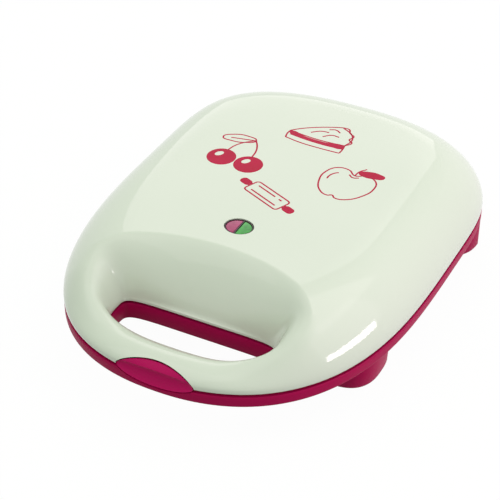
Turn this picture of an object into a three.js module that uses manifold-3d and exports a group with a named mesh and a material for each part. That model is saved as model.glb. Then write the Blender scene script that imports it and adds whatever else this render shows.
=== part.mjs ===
// A countertop electric pie maker, closed: a white lid hinged at the back of a magenta base, both
// running forward into a handle with a finger slot and a latch, round two heated plates.
// Millimetres. +Z is up from the table, +Y runs to the hinge, and x = 0 is the plane of symmetry.
import * as THREE from 'three';
import { mergeVertices } from 'three/addons/utils/BufferGeometryUtils.js';
import Module from 'manifold-3d';

const wasm = await Module();
wasm.setup();

// The whole body, seen from above, from its widest line
const bodyWidth = 250;
const backDepth = 127.7;
const frontDepth = 209.2;
const backAcrossShare = 2.336;
const backAlongShare = 4.092;
const frontAcrossShare = 2.228;
const frontAlongShare = 3.346;

// Heights, walls and clearances
const rimHeight = 40;
const lidHeight = 43.7;
const lipHeight = 3;
const lidWall = 2.8;
const baseWall = 2.5;
const partingGap = 0.6;
const fitGap = 0.3;
const looseGap = 0.8;
const overrun = 6;
const flatTolerance = 0.02;

// Handle: the bar along the front, the finger slot behind it and the hollow that falls to the slot
const barWidth = 30.7;
const barHeight = 12.3;
const barRound = 20;
const edgeRound = 47;
const roundInShare = 2.1;
const roundUpShare = 0.65;
const slotHalfWidth = 58;
const slotFrontReach = 18.5;
const slotBackReach = 16;
const slotFrontShare = 4;
const slotBackShare = 6;
const slotFrontEdge = 3.5;
const slotBackEdge = 1.8;
const slotWall = 2.4;
const hollowSideGap = 38;
const hollowBackReach = 53;
const hollowFrontReach = 28;
const hollowSteepShare = 3.2;
const hollowEaseShare = 1;
const barTurnShares = [-0.39, 0.03];
const slotSpreadShare = 0.03;

// Latch: a dished tab that turns on a pin in the bar, with its catch and its spring
const latchHalfWidth = 28.2;
const latchRise = 8.7;
const latchDrop = 6.6;
const latchThickness = 3;
const latchDish = 2.6;
const latchLipRise = 4.6;
const dishShares = [[1, 0], [0.62, 0.45], [0.25, 0.85], [-0.1, 1], [-0.32, 0.8], [-0.48, 0.3]];
const latchGap = 0.8;
const latchPivotInset = 9.4;
const latchPivotRise = 4.6;
const latchBarrelRadius = 2.4;
const latchBarrelHalf = 16;
const latchPinRadius = 1.4;
const latchPinHalf = 28;
const latchWebHalf = 13;
const latchBossWidth = 4;
const catchHalfWidth = 12;
const catchReach = 2.2;
const catchHeight = 2;
const catchInset = 9;
const catchPlay = 0.8;
const catchOverlap = 0.6;
const springWire = 0.7;
const springPitch = 1.2;
const springTurnCount = 5;

// Base: band, tray under the handle, tub, legs and pads
const bandHeight = 10;
const trayDepth = 15;
const trayCurveShares = [[1, 0], [0.47, 0.22], [0.14, 0.62], [0.03, 1]];
const trayCurve = 30;
const tubSideGap = 18;
const tubFrontGap = 26;
const tubBackGap = 14.7;
const tubDraft = 7;
const tubFloor = 4;
const tubSquareShare = 4;
const legHalfWidth = 28;
const legHalfDepth = 30;
const legFrontOutset = 6;
const legFrontShift = 2;
const legRearOutset = 13;
const legRearShift = 2.5;
const legDraft = 2;
const legFoot = 1.2;
const legSquareShare = 2.6;
const padRadius = 9;
const padHeight = 3;
const padCorner = 0.8;

// Plates: cups below and domes above, all set out from the plate's own edge
const plateSideGap = 23;
const plateFrontGap = 28;
const plateBackGap = 29.7;
const plateSquareShare = 5;
const plateRise = 2;
const plateThickness = 3;
const plateLedge = 4;
const cupSideBorder = 9;
const cupEndBorder = 13;
const cupWeb = 10;
const cupDraft = 7;
const cupCorner = 5;
const cornerShares = [[0, 0], [0.71, 0.29], [1, 1]];
const castWall = 2.6;
const domeDepth = 9;
const domeShares = [[1, 0], [0.93, 0.5], [0.76, 0.85], [0.5, 1]];
const linerThickness = 2.2;

// Heating and sensing
const heaterRadius = 3.2;
const heaterOutset = 14;
const heaterCorner = 22;
const heaterBendShare = 0.3;
const heaterTailX = 13;
const heaterTailLength = 18;
const reflectorStand = 3.6;
const reflectorSheet = 0.6;
const reflectorInset = 13;
const reflectorRim = 6;
const thermostatRadius = 8;
const thermostatFlange = 11;
const thermostatFlangeHeight = 1.6;
const thermostatHeight = 9;
const fuseRadius = 2;
const fuseLength = 13;
const terminalWidth = 30;
const terminalDepth = 11;
const terminalHeight = 13;
const terminalPoleCount = 3;
const terminalPoleRadius = 2.2;

// Fasteners
const screwRadius = 1.5;
const screwHeadRadius = 3.2;
const screwHeadHeight = 2.2;
const linerHeadHeight = 1.4;
const screwLength = 14;
const bossRadius = 4.5;
const bossSideBorder = 22;
const bossEndBorder = 23;
const housingBossRadius = 6;
const housingBossHeight = 6;
const linerScrewGap = 9;
const linerScrewSideGap = 21;
const linerScrewFrontGap = 13;

// Hinge
const hingeStandoff = 5.1;
const hingeSideGap = 84;
const knuckleRadius = 5.2;
const lidKnuckleWidth = 14;
const earWidth = 7;
const knuckleGap = 0.4;
const hingePinRadius = 2;
const armHeight = 5;
const armReach = 19;

// Lamp window
const lampSlotGap = 55;
const lampHalfWidth = 10.3;
const lampHalfDepth = 8.9;
const lampSink = 0.5;
const lampRim = 0.8;
const lampBezelDepth = 5;
const lampDivider = 0.9;
const lampLensThickness = 2;
const neonRadius = 2.6;
const neonLength = 12;
const neonSpacing = 9;
const lampHolderThickness = 2;
const lampPostRadius = 2.4;

// Cord gland in the rear wall of the tub
const glandBore = 3.2;
const glandNeck = 4.4;
const glandFlange = 6.2;
const glandFlangeThickness = 2.5;
const glandTaper = 1;
const glandReach = 9;

// Fineness of the faceted surfaces
const halfOutlineCount = 26;
const walkCount = 240;
const tubStepCount = 24;
const plateStepCount = 32;
const legStepCount = 12;
const heaterStepCount = 34;
const heaterSideCount = 2;
const cupStepCount = 18;
const roundStepCount = 12;
const smallStepCount = 8;
const lampStepCount = 20;
const latchStepCount = 7;
const springStepCount = 5;
const flankShares = [0.03, 0.1, 0.22, 0.42, 0.7];
const slopeShares = [0.74, 0.5, 0.28, 0.1, 0];
const flankMostShare = 0.67;
const halvingCount = 16;
const latchEndShare = 0.97;

// Places that the pieces share
const slotMiddleY = -frontDepth + barWidth + slotFrontReach;
const slotBackY = slotMiddleY + slotBackReach;
const hollowHalfWidth = bodyWidth / 2 - hollowSideGap;
const lidTopZ = rimHeight + lidHeight;
const baseTopZ = rimHeight - partingGap;
const tubHalfWidth = bodyWidth / 2 - tubSideGap;
const tubFrontY = slotBackY + tubFrontGap;
const tubBackY = backDepth - tubBackGap;
const tubTopZ = rimHeight - trayDepth + 2 * baseWall;
const plateHalfWidth = bodyWidth / 2 - plateSideGap;
const plateFrontY = slotBackY + plateFrontGap;
const plateBackY = backDepth - plateBackGap;
const plateCentreY = (plateFrontY + plateBackY) / 2;
const plateHalfDepth = (plateBackY - plateFrontY) / 2;
const platePlaneZ = rimHeight + plateRise;
const lowerPlateTopZ = platePlaneZ - fitGap / 2;
const upperPlateFaceZ = platePlaneZ + fitGap / 2;
const cupRoom = Math.min(plateHalfWidth - cupSideBorder, plateHalfDepth - cupEndBorder);
const cupRadius = (cupRoom - cupWeb / 2) / 2;
const cupX = plateHalfWidth - cupSideBorder - cupRadius;
const cupY = plateHalfDepth - cupEndBorder - cupRadius;
const reflectorZ = tubFloor + baseWall + reflectorStand;
const lowerHeaterZ = reflectorZ + reflectorSheet + fitGap + heaterRadius;
const cupFloorZ = lowerHeaterZ + heaterRadius + fitGap + castWall;
const upperHeaterZ = upperPlateFaceZ + domeDepth + castWall + fitGap + heaterRadius;
const upperReflectorZ = upperHeaterZ + heaterRadius + fitGap;
const pivotY = -frontDepth + latchPivotInset;
const pivotZ = rimHeight + latchPivotRise;
const hingeY = backDepth + hingeStandoff;
const hingeSpread = bodyWidth / 2 - hingeSideGap;
const lampY = slotBackY + lampSlotGap;
const lampTopZ = lidTopZ - lampSink;
const lampHolderZ = lampTopZ - lampBezelDepth - 2 * neonRadius - 2 * fitGap;
const lampPostX = lampHalfWidth + lampPostRadius + looseGap;
const glandZ = rimHeight - trayDepth - glandFlange;

const quarters = [[-1, -1], [1, -1], [-1, 1], [1, 1]];
const cupPlaces = quarters.map(([side, end]) => [side * cupX, plateCentreY + end * cupY]);
const bossPlaces = quarters.map(([side, end]) => [
  side * (plateHalfWidth - bossSideBorder),
  plateCentreY + end * (plateHalfDepth - bossEndBorder),
]);
const legPlaces = bossPlaces.map(([x, y]) => (y > plateCentreY
  ? [x + Math.sign(x) * legRearOutset, y + legRearShift]
  : [x + Math.sign(x) * legFrontOutset, y - legFrontShift]));
const linerScrewPlaces = [-1, 1].flatMap((side) => [
  [side * (slotHalfWidth + linerScrewSideGap), slotBackY + linerScrewFrontGap],
  [side * (plateHalfWidth + linerScrewGap), plateCentreY],
  [side * (hingeSpread + linerScrewGap), plateBackY + linerScrewGap],
]);

const white = new THREE.MeshStandardMaterial({ color: 0xe5ebe1, roughness: 0.15, metalness: 0 });
const magenta = new THREE.MeshStandardMaterial({ color: 0xbd2860, roughness: 0.35, metalness: 0 });
const nonStick = new THREE.MeshStandardMaterial({ color: 0x1c1c1e, roughness: 0.55, metalness: 0.1 });
const steel = new THREE.MeshStandardMaterial({ color: 0xb9bcc0, roughness: 0.35, metalness: 1 });
const sheetMetal = new THREE.MeshStandardMaterial({ color: 0xc9ccd0, roughness: 0.4, metalness: 1 });
const darkPlastic = new THREE.MeshStandardMaterial({ color: 0x2a1418, roughness: 0.4, metalness: 0 });
const rubber = new THREE.MeshStandardMaterial({ color: 0x222222, roughness: 0.9, metalness: 0 });
const redLens = new THREE.MeshStandardMaterial({ color: 0xa52d5f, roughness: 0.15, metalness: 0 });
const greenLens = new THREE.MeshStandardMaterial({ color: 0x2da032, roughness: 0.15, metalness: 0 });
const neonGlass = new THREE.MeshStandardMaterial({ color: 0xe8e4dc, roughness: 0.1, metalness: 0 });
const ceramic = new THREE.MeshStandardMaterial({ color: 0xe6e0d2, roughness: 0.7, metalness: 0 });

// Solids: joins, cuts and plain forms

function solid(geometry) {
  const plain = geometry.index ? geometry.clone() : geometry;
  plain.deleteAttribute('normal');
  plain.deleteAttribute('uv');
  const merged = mergeVertices(plain);
  const mesh = new wasm.Mesh({
    numProp: 3,
    vertProperties: Float32Array.from(merged.attributes.position.array),
    triVerts: Uint32Array.from(merged.index.array),
  });
  return new wasm.Manifold(mesh);
}

function named(name, manifold, material) {
  const cut = manifold.asOriginal().simplify(flatTolerance).getMesh();
  const geometry = new THREE.BufferGeometry();
  geometry.setAttribute('position', new THREE.BufferAttribute(Float32Array.from(cut.vertProperties), 3));
  geometry.setIndex(new THREE.BufferAttribute(Uint32Array.from(cut.triVerts), 1));
  geometry.computeVertexNormals();
  const mesh = new THREE.Mesh(geometry, material);
  mesh.name = name;
  return mesh;
}

function band(low, high, count) {
  return Array.from({ length: count }, (_, step) => {
    const next = (step + 1) % count;
    return [low + step, low + next, high + next, low + step, high + next, high + step];
  }).flat();
}

function ringSolid(rings, caps) {
  const count = rings[0].length;
  const positions = rings.flat().flatMap((point) => [point.x, point.y, point.z]);
  const faces = rings.slice(1).flatMap((_, level) => band(level * count, (level + 1) * count, count));
  const last = (rings.length - 1) * count;
  if (!caps) {
    faces.push(...band(last, 0, count));
  }
  for (const [ring, start, way] of caps ? [[rings[0], 0, 1], [rings.at(-1), last, 0]] : []) {
    const middle = ring.reduce((sum, point) => sum.add(point), new THREE.Vector3()).divideScalar(count);
    const centre = positions.length / 3;
    positions.push(middle.x, middle.y, middle.z);
    for (let step = 0; step < count; step += 1) {
      const next = (step + 1) % count;
      faces.push(centre, start + (way ? next : step), start + (way ? step : next));
    }
  }
  const geometry = new THREE.BufferGeometry();
  geometry.setAttribute('position', new THREE.Float32BufferAttribute(positions, 3));
  geometry.setIndex(faces);
  return solid(geometry);
}

// A closed solid through rings of points that all have the same count, the first ring at the bottom
function loft(rings) {
  return ringSolid(rings, true);
}

// The same with no ends: the last ring joins the first again, round a hole
function loopLoft(rings) {
  return ringSolid(rings, false);
}

function prism(points, low, high) {
  const geometry = new THREE.ExtrudeGeometry(new THREE.Shape(points), {
    depth: high - low,
    bevelEnabled: false,
  });
  geometry.translate(0, 0, low);
  return solid(geometry);
}

function block(from, to) {
  const size = new THREE.Vector3(...to).sub(new THREE.Vector3(...from));
  const geometry = new THREE.BoxGeometry(size.x, size.y, size.z);
  geometry.translate(from[0] + size.x / 2, from[1] + size.y / 2, from[2] + size.z / 2);
  return solid(geometry);
}

function crossRod(radius, half, y, z, steps = roundStepCount) {
  const geometry = new THREE.CylinderGeometry(radius, radius, half * 2, steps);
  geometry.rotateZ(Math.PI / 2);
  geometry.translate(0, y, z);
  return solid(geometry);
}

function post(radius, x, y, low, high, steps = smallStepCount) {
  const geometry = new THREE.CylinderGeometry(radius, radius, high - low, steps);
  geometry.rotateX(Math.PI / 2);
  geometry.translate(x, y, (low + high) / 2);
  return solid(geometry);
}

// A solid of revolution about a vertical line, from [radius, height] pairs that close on themselves
function turned(profile, x, y, steps) {
  const points = [...profile, profile[0]].map(([radius, height]) => new THREE.Vector2(radius, height));
  const geometry = new THREE.LatheGeometry(points, steps);
  geometry.rotateX(Math.PI / 2);
  geometry.translate(x, y, 0);
  return solid(geometry);
}

function tube(curve, radius, steps, sides) {
  const section = new THREE.Shape();
  section.absarc(0, 0, radius, 0, Math.PI * 2, false);
  const geometry = new THREE.ExtrudeGeometry(section, {
    steps,
    curveSegments: sides,
    extrudePath: curve,
    bevelEnabled: false,
  });
  return solid(geometry);
}

function union(parts) {
  return parts.reduce((sum, part) => sum.add(part));
}

function smooth(share) {
  const held = THREE.MathUtils.clamp(share, 0, 1);
  return held * held * (3 - 2 * held);
}

// Outlines seen from above

function signedPower(value, power) {
  return Math.sign(value) * Math.abs(value) ** power;
}

// A point of the body's outline drawn in by an inset, by its angle round the widest line
function bodyPoint(angle, inset) {
  const front = Math.sin(angle) < 0;
  const acrossShare = front ? frontAcrossShare : backAcrossShare;
  const alongShare = front ? frontAlongShare : backAlongShare;
  const reach = front ? frontDepth : backDepth;
  const x = (bodyWidth / 2 - inset) * signedPower(Math.cos(angle), 2 / acrossShare);
  const y = (reach - inset) * signedPower(Math.sin(angle), 2 / alongShare);
  return new THREE.Vector2(x, y);
}

function slotPoint(angle, grow) {
  const front = Math.sin(angle) < 0;
  const squareShare = front ? slotFrontShare : slotBackShare;
  const reach = (front ? slotFrontReach : slotBackReach) + grow;
  const x = (slotHalfWidth + grow) * signedPower(Math.cos(angle), 2 / squareShare);
  return new THREE.Vector2(x, slotMiddleY + reach * signedPower(Math.sin(angle), 2 / squareShare));
}

// The angles of the right half of a closed line, from front to back, with shares of its length and turn
function walk(pointAt) {
  const angles = Array.from({ length: walkCount + 1 }, (_, step) => (step / walkCount - 0.5) * Math.PI);
  const points = angles.map((angle) => pointAt(angle, 0));
  const lengths = [0];
  const turns = [0];
  for (let step = 1; step <= walkCount; step += 1) {
    const ahead = points[step].clone().sub(points[step - 1]);
    const before = step > 1 ? points[step - 1].clone().sub(points[step - 2]) : ahead;
    lengths.push(lengths[step - 1] + ahead.length());
    turns.push(turns[step - 1] + Math.abs(ahead.angle() - before.angle()) % Math.PI);
  }
  const share = (list) => list.map((value) => value / list[walkCount]);
  return { angles, lengths: share(lengths), turns: share(turns) };
}

function lookUp(keys, values, key) {
  const next = Math.max(1, keys.findIndex((value) => value >= key));
  const part = (key - keys[next - 1]) / (keys[next] - keys[next - 1] || 1);
  return THREE.MathUtils.lerp(values[next - 1], values[next], part);
}

// Both outlines run from the front to the back in the same steps, close together in the bends and
// round the slot, so that the rows of the lid's skin run straight from the rim to the slot
const bodyWalk = walk(bodyPoint);
const slotWalk = walk(slotPoint);

function slotShare(share) {
  const from = Math.sqrt(slotSpreadShare);
  return (Math.sqrt(share + slotSpreadShare) - from) / (Math.sqrt(1 + slotSpreadShare) - from);
}

const bodyKeys = bodyWalk.lengths.map((length, step) => {
  return (length + bodyWalk.turns[step] + slotShare(length)) / 3;
});
const outlineShares = Array.from({ length: halfOutlineCount + 1 }, (_, step) => {
  return lookUp(bodyKeys, bodyWalk.lengths, step / halfOutlineCount);
});
const bodyAngles = outlineShares.map((share) => lookUp(bodyWalk.lengths, bodyWalk.angles, share));
const slotAngles = outlineShares.map((share) => lookUp(slotWalk.lengths, slotWalk.angles, slotShare(share)));

function bothSides(half) {
  const left = half.slice(1, -1).reverse().map((point) => point.clone().multiply(new THREE.Vector2(-1, 1)));
  return [...half, ...left];
}

function bodyOutline(inset) {
  return bothSides(bodyAngles.map((angle) => bodyPoint(angle, inset)));
}

function slotOutline(grow) {
  return bothSides(slotAngles.map((angle) => slotPoint(angle, grow)));
}

function frontEdgeY(x) {
  const share = 1 - (Math.abs(x) / (bodyWidth / 2)) ** frontAcrossShare;
  return -frontDepth * share ** (1 / frontAlongShare);
}

function roundedSquare(halfX, halfY, centreY, squareShare, steps) {
  return Array.from({ length: steps }, (_, step) => {
    const angle = (2 * Math.PI * step) / steps;
    const x = halfX * signedPower(Math.cos(angle), 2 / squareShare);
    return new THREE.Vector2(x, centreY + halfY * signedPower(Math.sin(angle), 2 / squareShare));
  });
}

function plateOutline(grow) {
  const half = plateHalfWidth + grow;
  return roundedSquare(half, plateHalfDepth + grow, plateCentreY, plateSquareShare, plateStepCount);
}

function tubOutline(inset) {
  const halfDepth = (tubBackY - tubFrontY) / 2 - inset;
  const centreY = (tubBackY + tubFrontY) / 2;
  return roundedSquare(tubHalfWidth - inset, halfDepth, centreY, tubSquareShare, tubStepCount);
}

function raise(points, z) {
  return points.map((point) => new THREE.Vector3(point.x, point.y, z));
}

// The lid's outer surface: one height for every place inside the outline

// How far in from the outline a place lies, as the outline drawn in by that much
function insetOf(x, y) {
  const front = y < 0;
  const reach = front ? frontDepth : backDepth;
  const across = front ? frontAcrossShare : backAcrossShare;
  const along = front ? frontAlongShare : backAlongShare;
  let low = 0;
  let high = Math.min(bodyWidth / 2, reach);
  for (let halving = 0; halving < halvingCount; halving += 1) {
    const middle = (low + high) / 2;
    const acrossPart = (Math.abs(x) / (bodyWidth / 2 - middle)) ** across;
    const alongPart = (Math.abs(y) / (reach - middle)) ** along;
    const inside = acrossPart + alongPart < 1;
    low = inside ? middle : low;
    high = inside ? high : middle;
  }
  return low;
}

function roundedEdge(share) {
  return (1 - (1 - THREE.MathUtils.clamp(share, 0, 1)) ** roundInShare) ** roundUpShare;
}

// Where a place lies between the slot's edge, 0, and the line where the hollow starts, 1
function climbFromSlot(x, y) {
  const back = y > slotMiddleY;
  const offset = Math.abs(y - slotMiddleY);
  const squareShare = back ? slotBackShare : slotFrontShare;
  const slotReach = back ? slotBackReach : slotFrontReach;
  const across = (Math.abs(x) / slotHalfWidth) ** squareShare;
  const inner = (across + (offset / slotReach) ** squareShare) ** (1 / squareShare);
  const outer = Math.hypot(x / hollowHalfWidth, offset / (back ? hollowBackReach : hollowFrontReach));
  if (outer >= 1 || outer >= inner) {
    return 1;
  }
  return THREE.MathUtils.clamp((outer * (inner - 1)) / (inner - outer), 0, 1);
}

// 0 along the bar, 1 beside and behind the slot
function besideBar(x, y) {
  const bearing = Math.atan2((y - slotMiddleY) / slotFrontReach, Math.abs(x) / slotHalfWidth) / Math.PI;
  return smooth((bearing - barTurnShares[0]) / (barTurnShares[1] - barTurnShares[0]));
}

function lidSurface(x, y) {
  const aside = besideBar(x, y);
  const top = THREE.MathUtils.lerp(barHeight, lidHeight, aside);
  const foot = THREE.MathUtils.lerp(slotFrontEdge, slotBackEdge, aside);
  const steep = hollowSteepShare - hollowEaseShare * aside;
  const form = foot + (top - foot) * (1 - (1 - climbFromSlot(x, y)) ** steep);
  const full = THREE.MathUtils.clamp((form - barHeight) / (lidHeight - barHeight), 0, 1);
  const reach = THREE.MathUtils.lerp(barRound, edgeRound, full);
  return lipHeight + (form - lipHeight) * roundedEdge(insetOf(x, y) / reach);
}

// Rings of the skin from the lip in to the slot's edge. Each row of points keeps its own step, with
// the first part of its way in the rounded flank and the last in the hollow's slope.
function skinRings() {
  const rim = bodyOutline(0);
  const slot = slotOutline(0);
  const rays = rim.map((point, step) => {
    const way = slot[step].clone().sub(point);
    const flank = Math.min(edgeRound / way.length(), flankMostShare);
    const starts = Array.from({ length: walkCount }, (_, place) => place / walkCount);
    const start = starts.find((share) => {
      const at = point.clone().addScaledVector(way, share);
      return climbFromSlot(at.x, at.y) < 1;
    });
    return { point, way, flank, slope: Math.min(1 - start, 1 - flank) };
  });
  const places = [
    ...flankShares.map((share) => (ray) => ray.flank * share),
    (ray) => ray.flank,
    (ray) => (ray.flank + 1 - ray.slope) / 2,
    (ray) => 1 - ray.slope,
    ...slopeShares.map((share) => (ray) => 1 - ray.slope * share),
  ];
  const rings = places.map((place) => rays.map((ray) => {
    const at = ray.point.clone().addScaledVector(ray.way, place(ray));
    return new THREE.Vector3(at.x, at.y, rimHeight + lidSurface(at.x, at.y));
  }));
  return [raise(rim, rimHeight + lipHeight), ...rings];
}

const lidSkin = skinRings();

// The lid as one solid block with the slot through it
function lidBlock() {
  return loopLoft([raise(bodyOutline(0), rimHeight), ...lidSkin, raise(slotOutline(0), rimHeight)]);
}

// The hollow under the skin, drawn in by the wall and square to the surface
function lidHollow() {
  const count = lidSkin[0].length;
  const inner = lidSkin.slice(1, -1).map((ring, level) => ring.map((point, step) => {
    const along = ring[(step + 1) % count].clone().sub(ring[(step + count - 1) % count]);
    const normal = along.cross(lidSkin[level + 2][step].clone().sub(lidSkin[level][step])).normalize();
    return point.clone().addScaledVector(normal, -lidWall);
  })).filter((ring, level) => level % 2);
  const low = rimHeight - overrun;
  const room = loopLoft([raise(bodyOutline(lidWall), low), ...inner, raise(slotOutline(slotWall), low)]);
  return room.subtract(prism(slotOutline(slotWall), 0, lidTopZ));
}

function halfEye(halfWidth, height, centreZ, yFrom, yTo) {
  const shape = new THREE.Shape();
  shape.absellipse(0, 0, halfWidth, height, 0, Math.PI * 2, false, 0);
  const geometry = new THREE.ExtrudeGeometry(shape, {
    depth: yTo - yFrom,
    bevelEnabled: false,
    curveSegments: roundStepCount,
  });
  geometry.rotateX(Math.PI / 2);
  geometry.translate(0, yTo, centreZ);
  return solid(geometry);
}

function lidCover() {
  const filled = lidBlock();
  const pocketTop = rimHeight + fitGap + linerThickness + fitGap;
  let lid = filled.subtract(lidHollow()).add(lidHinges());
  const linerPocket = prism(bodyOutline(lidWall + fitGap), 0, pocketTop);
  lid = lid.subtract(linerPocket.subtract(prism(slotOutline(slotWall), 0, lidTopZ))).subtract(latchBay());
  const bosses = latchBosses().add(union(linerScrewPlaces.map(([x, y]) => linerBoss(x, y)))).add(lampPosts());
  lid = lid.add(bosses.intersect(filled));
  lid = lid.subtract(crossRod(latchPinRadius + fitGap, latchPinHalf + fitGap, pivotY, pivotZ));
  const lampHole = prism(lampOutline(-fitGap), lampTopZ - lampBezelDepth - fitGap, lidTopZ + overrun);
  return named('lid_cover', lid.subtract(lampHole), white);
}

function lidHinges() {
  return union([-hingeSpread, hingeSpread].map((x) => {
    const half = lidKnuckleWidth / 2;
    const knuckle = crossRod(knuckleRadius, half, hingeY, rimHeight).translate([x, 0, 0]);
    const arm = block([x - half, backDepth - armReach, rimHeight], [x + half, hingeY, rimHeight + armHeight]);
    const hole = crossRod(hingePinRadius + fitGap, bodyWidth, hingeY, rimHeight);
    return knuckle.add(arm).subtract(hole);
  }));
}

// The arch in the bar that the tab fills, and the room for its barrel and spring
function latchBay() {
  const from = -frontDepth - overrun;
  const arch = halfEye(latchHalfWidth + latchGap, latchRise + latchGap, rimHeight, from, pivotY);
  const room = crossRod(latchBarrelRadius + looseGap, latchPinHalf - latchBossWidth, pivotY, pivotZ);
  return arch.add(room);
}

// Two bosses under the bar that carry the ends of the latch pin
function latchBosses() {
  const start = latchPinHalf - latchBossWidth;
  const low = rimHeight + linerThickness + 2 * fitGap;
  return union([-1, 1].map((side) => {
    const [from, to] = [side * start, side * (latchPinHalf + fitGap + lidWall)].sort((a, b) => a - b);
    return block([from, pivotY - latchBarrelRadius, low], [to, pivotY + latchBarrelRadius, lidTopZ]);
  }));
}

function linerBoss(x, y) {
  const low = rimHeight + linerThickness + 2 * fitGap;
  const boss = post(bossRadius, x, y, low, lidTopZ);
  return boss.subtract(post(screwRadius + fitGap, x, y, low, rimHeight + fitGap + screwLength + fitGap));
}

// Two posts that hang from the top on either side of the lamp and carry the lamp holder
function lampPosts() {
  const low = lampHolderZ + fitGap;
  return union([-1, 1].map((side) => post(lampPostRadius, side * lampPostX, lampY, low, lidTopZ)));
}

// Closes the lid from below round the upper plate and the slot
function lidLiner() {
  const low = rimHeight + fitGap;
  const high = low + linerThickness;
  let liner = prism(bodyOutline(lidWall + 2 * fitGap), low, high);
  liner = liner.subtract(prism(plateOutline(looseGap), 0, lidTopZ));
  liner = liner.subtract(prism(slotOutline(slotWall + fitGap), 0, lidTopZ));
  const bay = [latchPinHalf + fitGap + lidWall + looseGap, pivotY + latchBarrelRadius + looseGap];
  liner = liner.subtract(block([-bay[0], -frontDepth - overrun, 0], [bay[0], bay[1], lidTopZ]));
  for (const [x, y] of linerScrewPlaces) {
    liner = liner.subtract(post(screwRadius + fitGap, x, y, 0, lidTopZ));
    liner = liner.subtract(post(screwHeadRadius + fitGap, x, y, 0, low + linerHeadHeight));
  }
  return named('lid_liner', liner, magenta);
}

// Plates

function cupSolid(x, y, grow, top) {
  const floor = cupFloorZ - grow;
  const rim = cupRadius + grow;
  const foot = rim - cupDraft;
  const flat = foot - cupCorner;
  const corner = cornerShares.map(([out, up]) => [flat + cupCorner * out, floor + cupCorner * up]);
  return turned([[0, floor], ...corner, [rim, lowerPlateTopZ], [rim, top], [0, top]], x, y, cupStepCount);
}

function lowerPlate() {
  const low = lowerPlateTopZ - plateThickness;
  const foot = tubFloor + housingBossHeight + fitGap;
  let plate = prism(plateOutline(0), low, lowerPlateTopZ);
  plate = plate.add(union(cupPlaces.map(([x, y]) => cupSolid(x, y, castWall, low + castWall))));
  plate = plate.add(union(bossPlaces.map(([x, y]) => post(bossRadius, x, y, foot, low + castWall))));
  plate = plate.subtract(union(cupPlaces.map(([x, y]) => cupSolid(x, y, 0, rimHeight + overrun))));
  const end = tubFloor + screwLength + fitGap;
  plate = plate.subtract(union(bossPlaces.map(([x, y]) => post(screwRadius + fitGap, x, y, 0, end))));
  return named('lower_plate', plate, nonStick);
}

function domeSolid(x, y, grow, low) {
  const rim = cupRadius + grow;
  const height = domeDepth + grow;
  const arc = domeShares.map(([out, up]) => [rim * out, upperPlateFaceZ + height * up]);
  return turned([[0, low], [rim, low], ...arc, [0, upperPlateFaceZ + height]], x, y, cupStepCount);
}

function upperPlate() {
  const step = rimHeight + fitGap + linerThickness + fitGap;
  let plate = prism(plateOutline(0), upperPlateFaceZ, step + fitGap);
  plate = plate.add(prism(plateOutline(plateLedge), step, step + plateThickness));
  plate = plate.add(union(cupPlaces.map(([x, y]) => domeSolid(x, y, castWall, step))));
  plate = plate.subtract(union(cupPlaces.map(([x, y]) => domeSolid(x, y, 0, rimHeight))));
  return named('upper_plate', plate, nonStick);
}

// Heating element: one tube bent in a loop under the cups, its two ends turned to the back
function heaterLoop(z) {
  const halfX = cupX + heaterOutset;
  const back = plateCentreY + cupY + heaterOutset;
  const front = plateCentreY - cupY - heaterOutset;
  const bend = heaterCorner * heaterBendShare;
  const at = (x, y) => new THREE.Vector3(x, y, z);
  const right = [
    at(halfX - heaterCorner, front), at(halfX - bend, front + bend), at(halfX, front + heaterCorner),
    at(halfX, back - heaterCorner), at(halfX - bend, back - bend), at(halfX - heaterCorner, back),
    at(heaterTailX + heaterCorner, back), at(heaterTailX + bend, back + bend),
    at(heaterTailX, back + heaterTailLength),
  ];
  const left = right.map((point) => at(-point.x, point.y)).reverse();
  return new THREE.CatmullRomCurve3([...left, ...right], false, 'centripetal');
}

function heater(name, z) {
  return named(name, tube(heaterLoop(z), heaterRadius, heaterStepCount, heaterSideCount), steel);
}

function reflectorTray(low, high, roomLow, roomHigh) {
  const outer = prism(plateOutline(-reflectorInset), low, high);
  return outer.subtract(prism(plateOutline(-reflectorInset - reflectorSheet), roomLow, roomHigh));
}

function lowerReflector() {
  const floor = reflectorZ + reflectorSheet;
  const tray = reflectorTray(reflectorZ, floor + reflectorRim, floor, lidTopZ);
  const holes = bossPlaces.map(([x, y]) => post(housingBossRadius + looseGap, x, y, 0, lidTopZ));
  return named('lower_reflector', tray.subtract(union(holes)), sheetMetal);
}

function upperReflector() {
  const high = upperReflectorZ + reflectorSheet;
  const tray = reflectorTray(upperReflectorZ - reflectorRim, high, 0, upperReflectorZ);
  return named('upper_reflector', tray, sheetMetal);
}

function thermostat() {
  const top = lowerPlateTopZ - plateThickness - fitGap;
  const can = post(thermostatRadius, 0, plateCentreY, top - thermostatHeight, top, roundStepCount);
  const flange = post(thermostatFlange, 0, plateCentreY, top - thermostatFlangeHeight, top, roundStepCount);
  return named('thermostat', can.add(flange), ceramic);
}

function thermalFuse() {
  const z = lowerPlateTopZ - plateThickness - fitGap - fuseRadius;
  const body = crossRod(fuseRadius, fuseLength / 2, 0, 0, smallStepCount).rotate([0, 0, 90]);
  const y = plateCentreY - thermostatFlange - fitGap - fuseLength / 2;
  return named('thermal_fuse', body.translate([0, y, z]), ceramic);
}

// Three poles in a row, each open from above for its wire
function terminalBlock() {
  const low = tubFloor + baseWall + fitGap;
  const back = tubWallY(low, baseWall) - looseGap - glandFlangeThickness;
  const half = terminalWidth / 2;
  let body = block([-half, back - terminalDepth, low], [half, back, low + terminalHeight]);
  for (let pole = 0; pole < terminalPoleCount; pole += 1) {
    const x = -half + (half * (2 * pole + 1)) / terminalPoleCount;
    const hole = post(terminalPoleRadius, x, back - terminalDepth / 2, low + terminalHeight / 2, lidTopZ);
    body = body.subtract(hole);
  }
  return named('terminal_block', body, ceramic);
}

// Base housing

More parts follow.
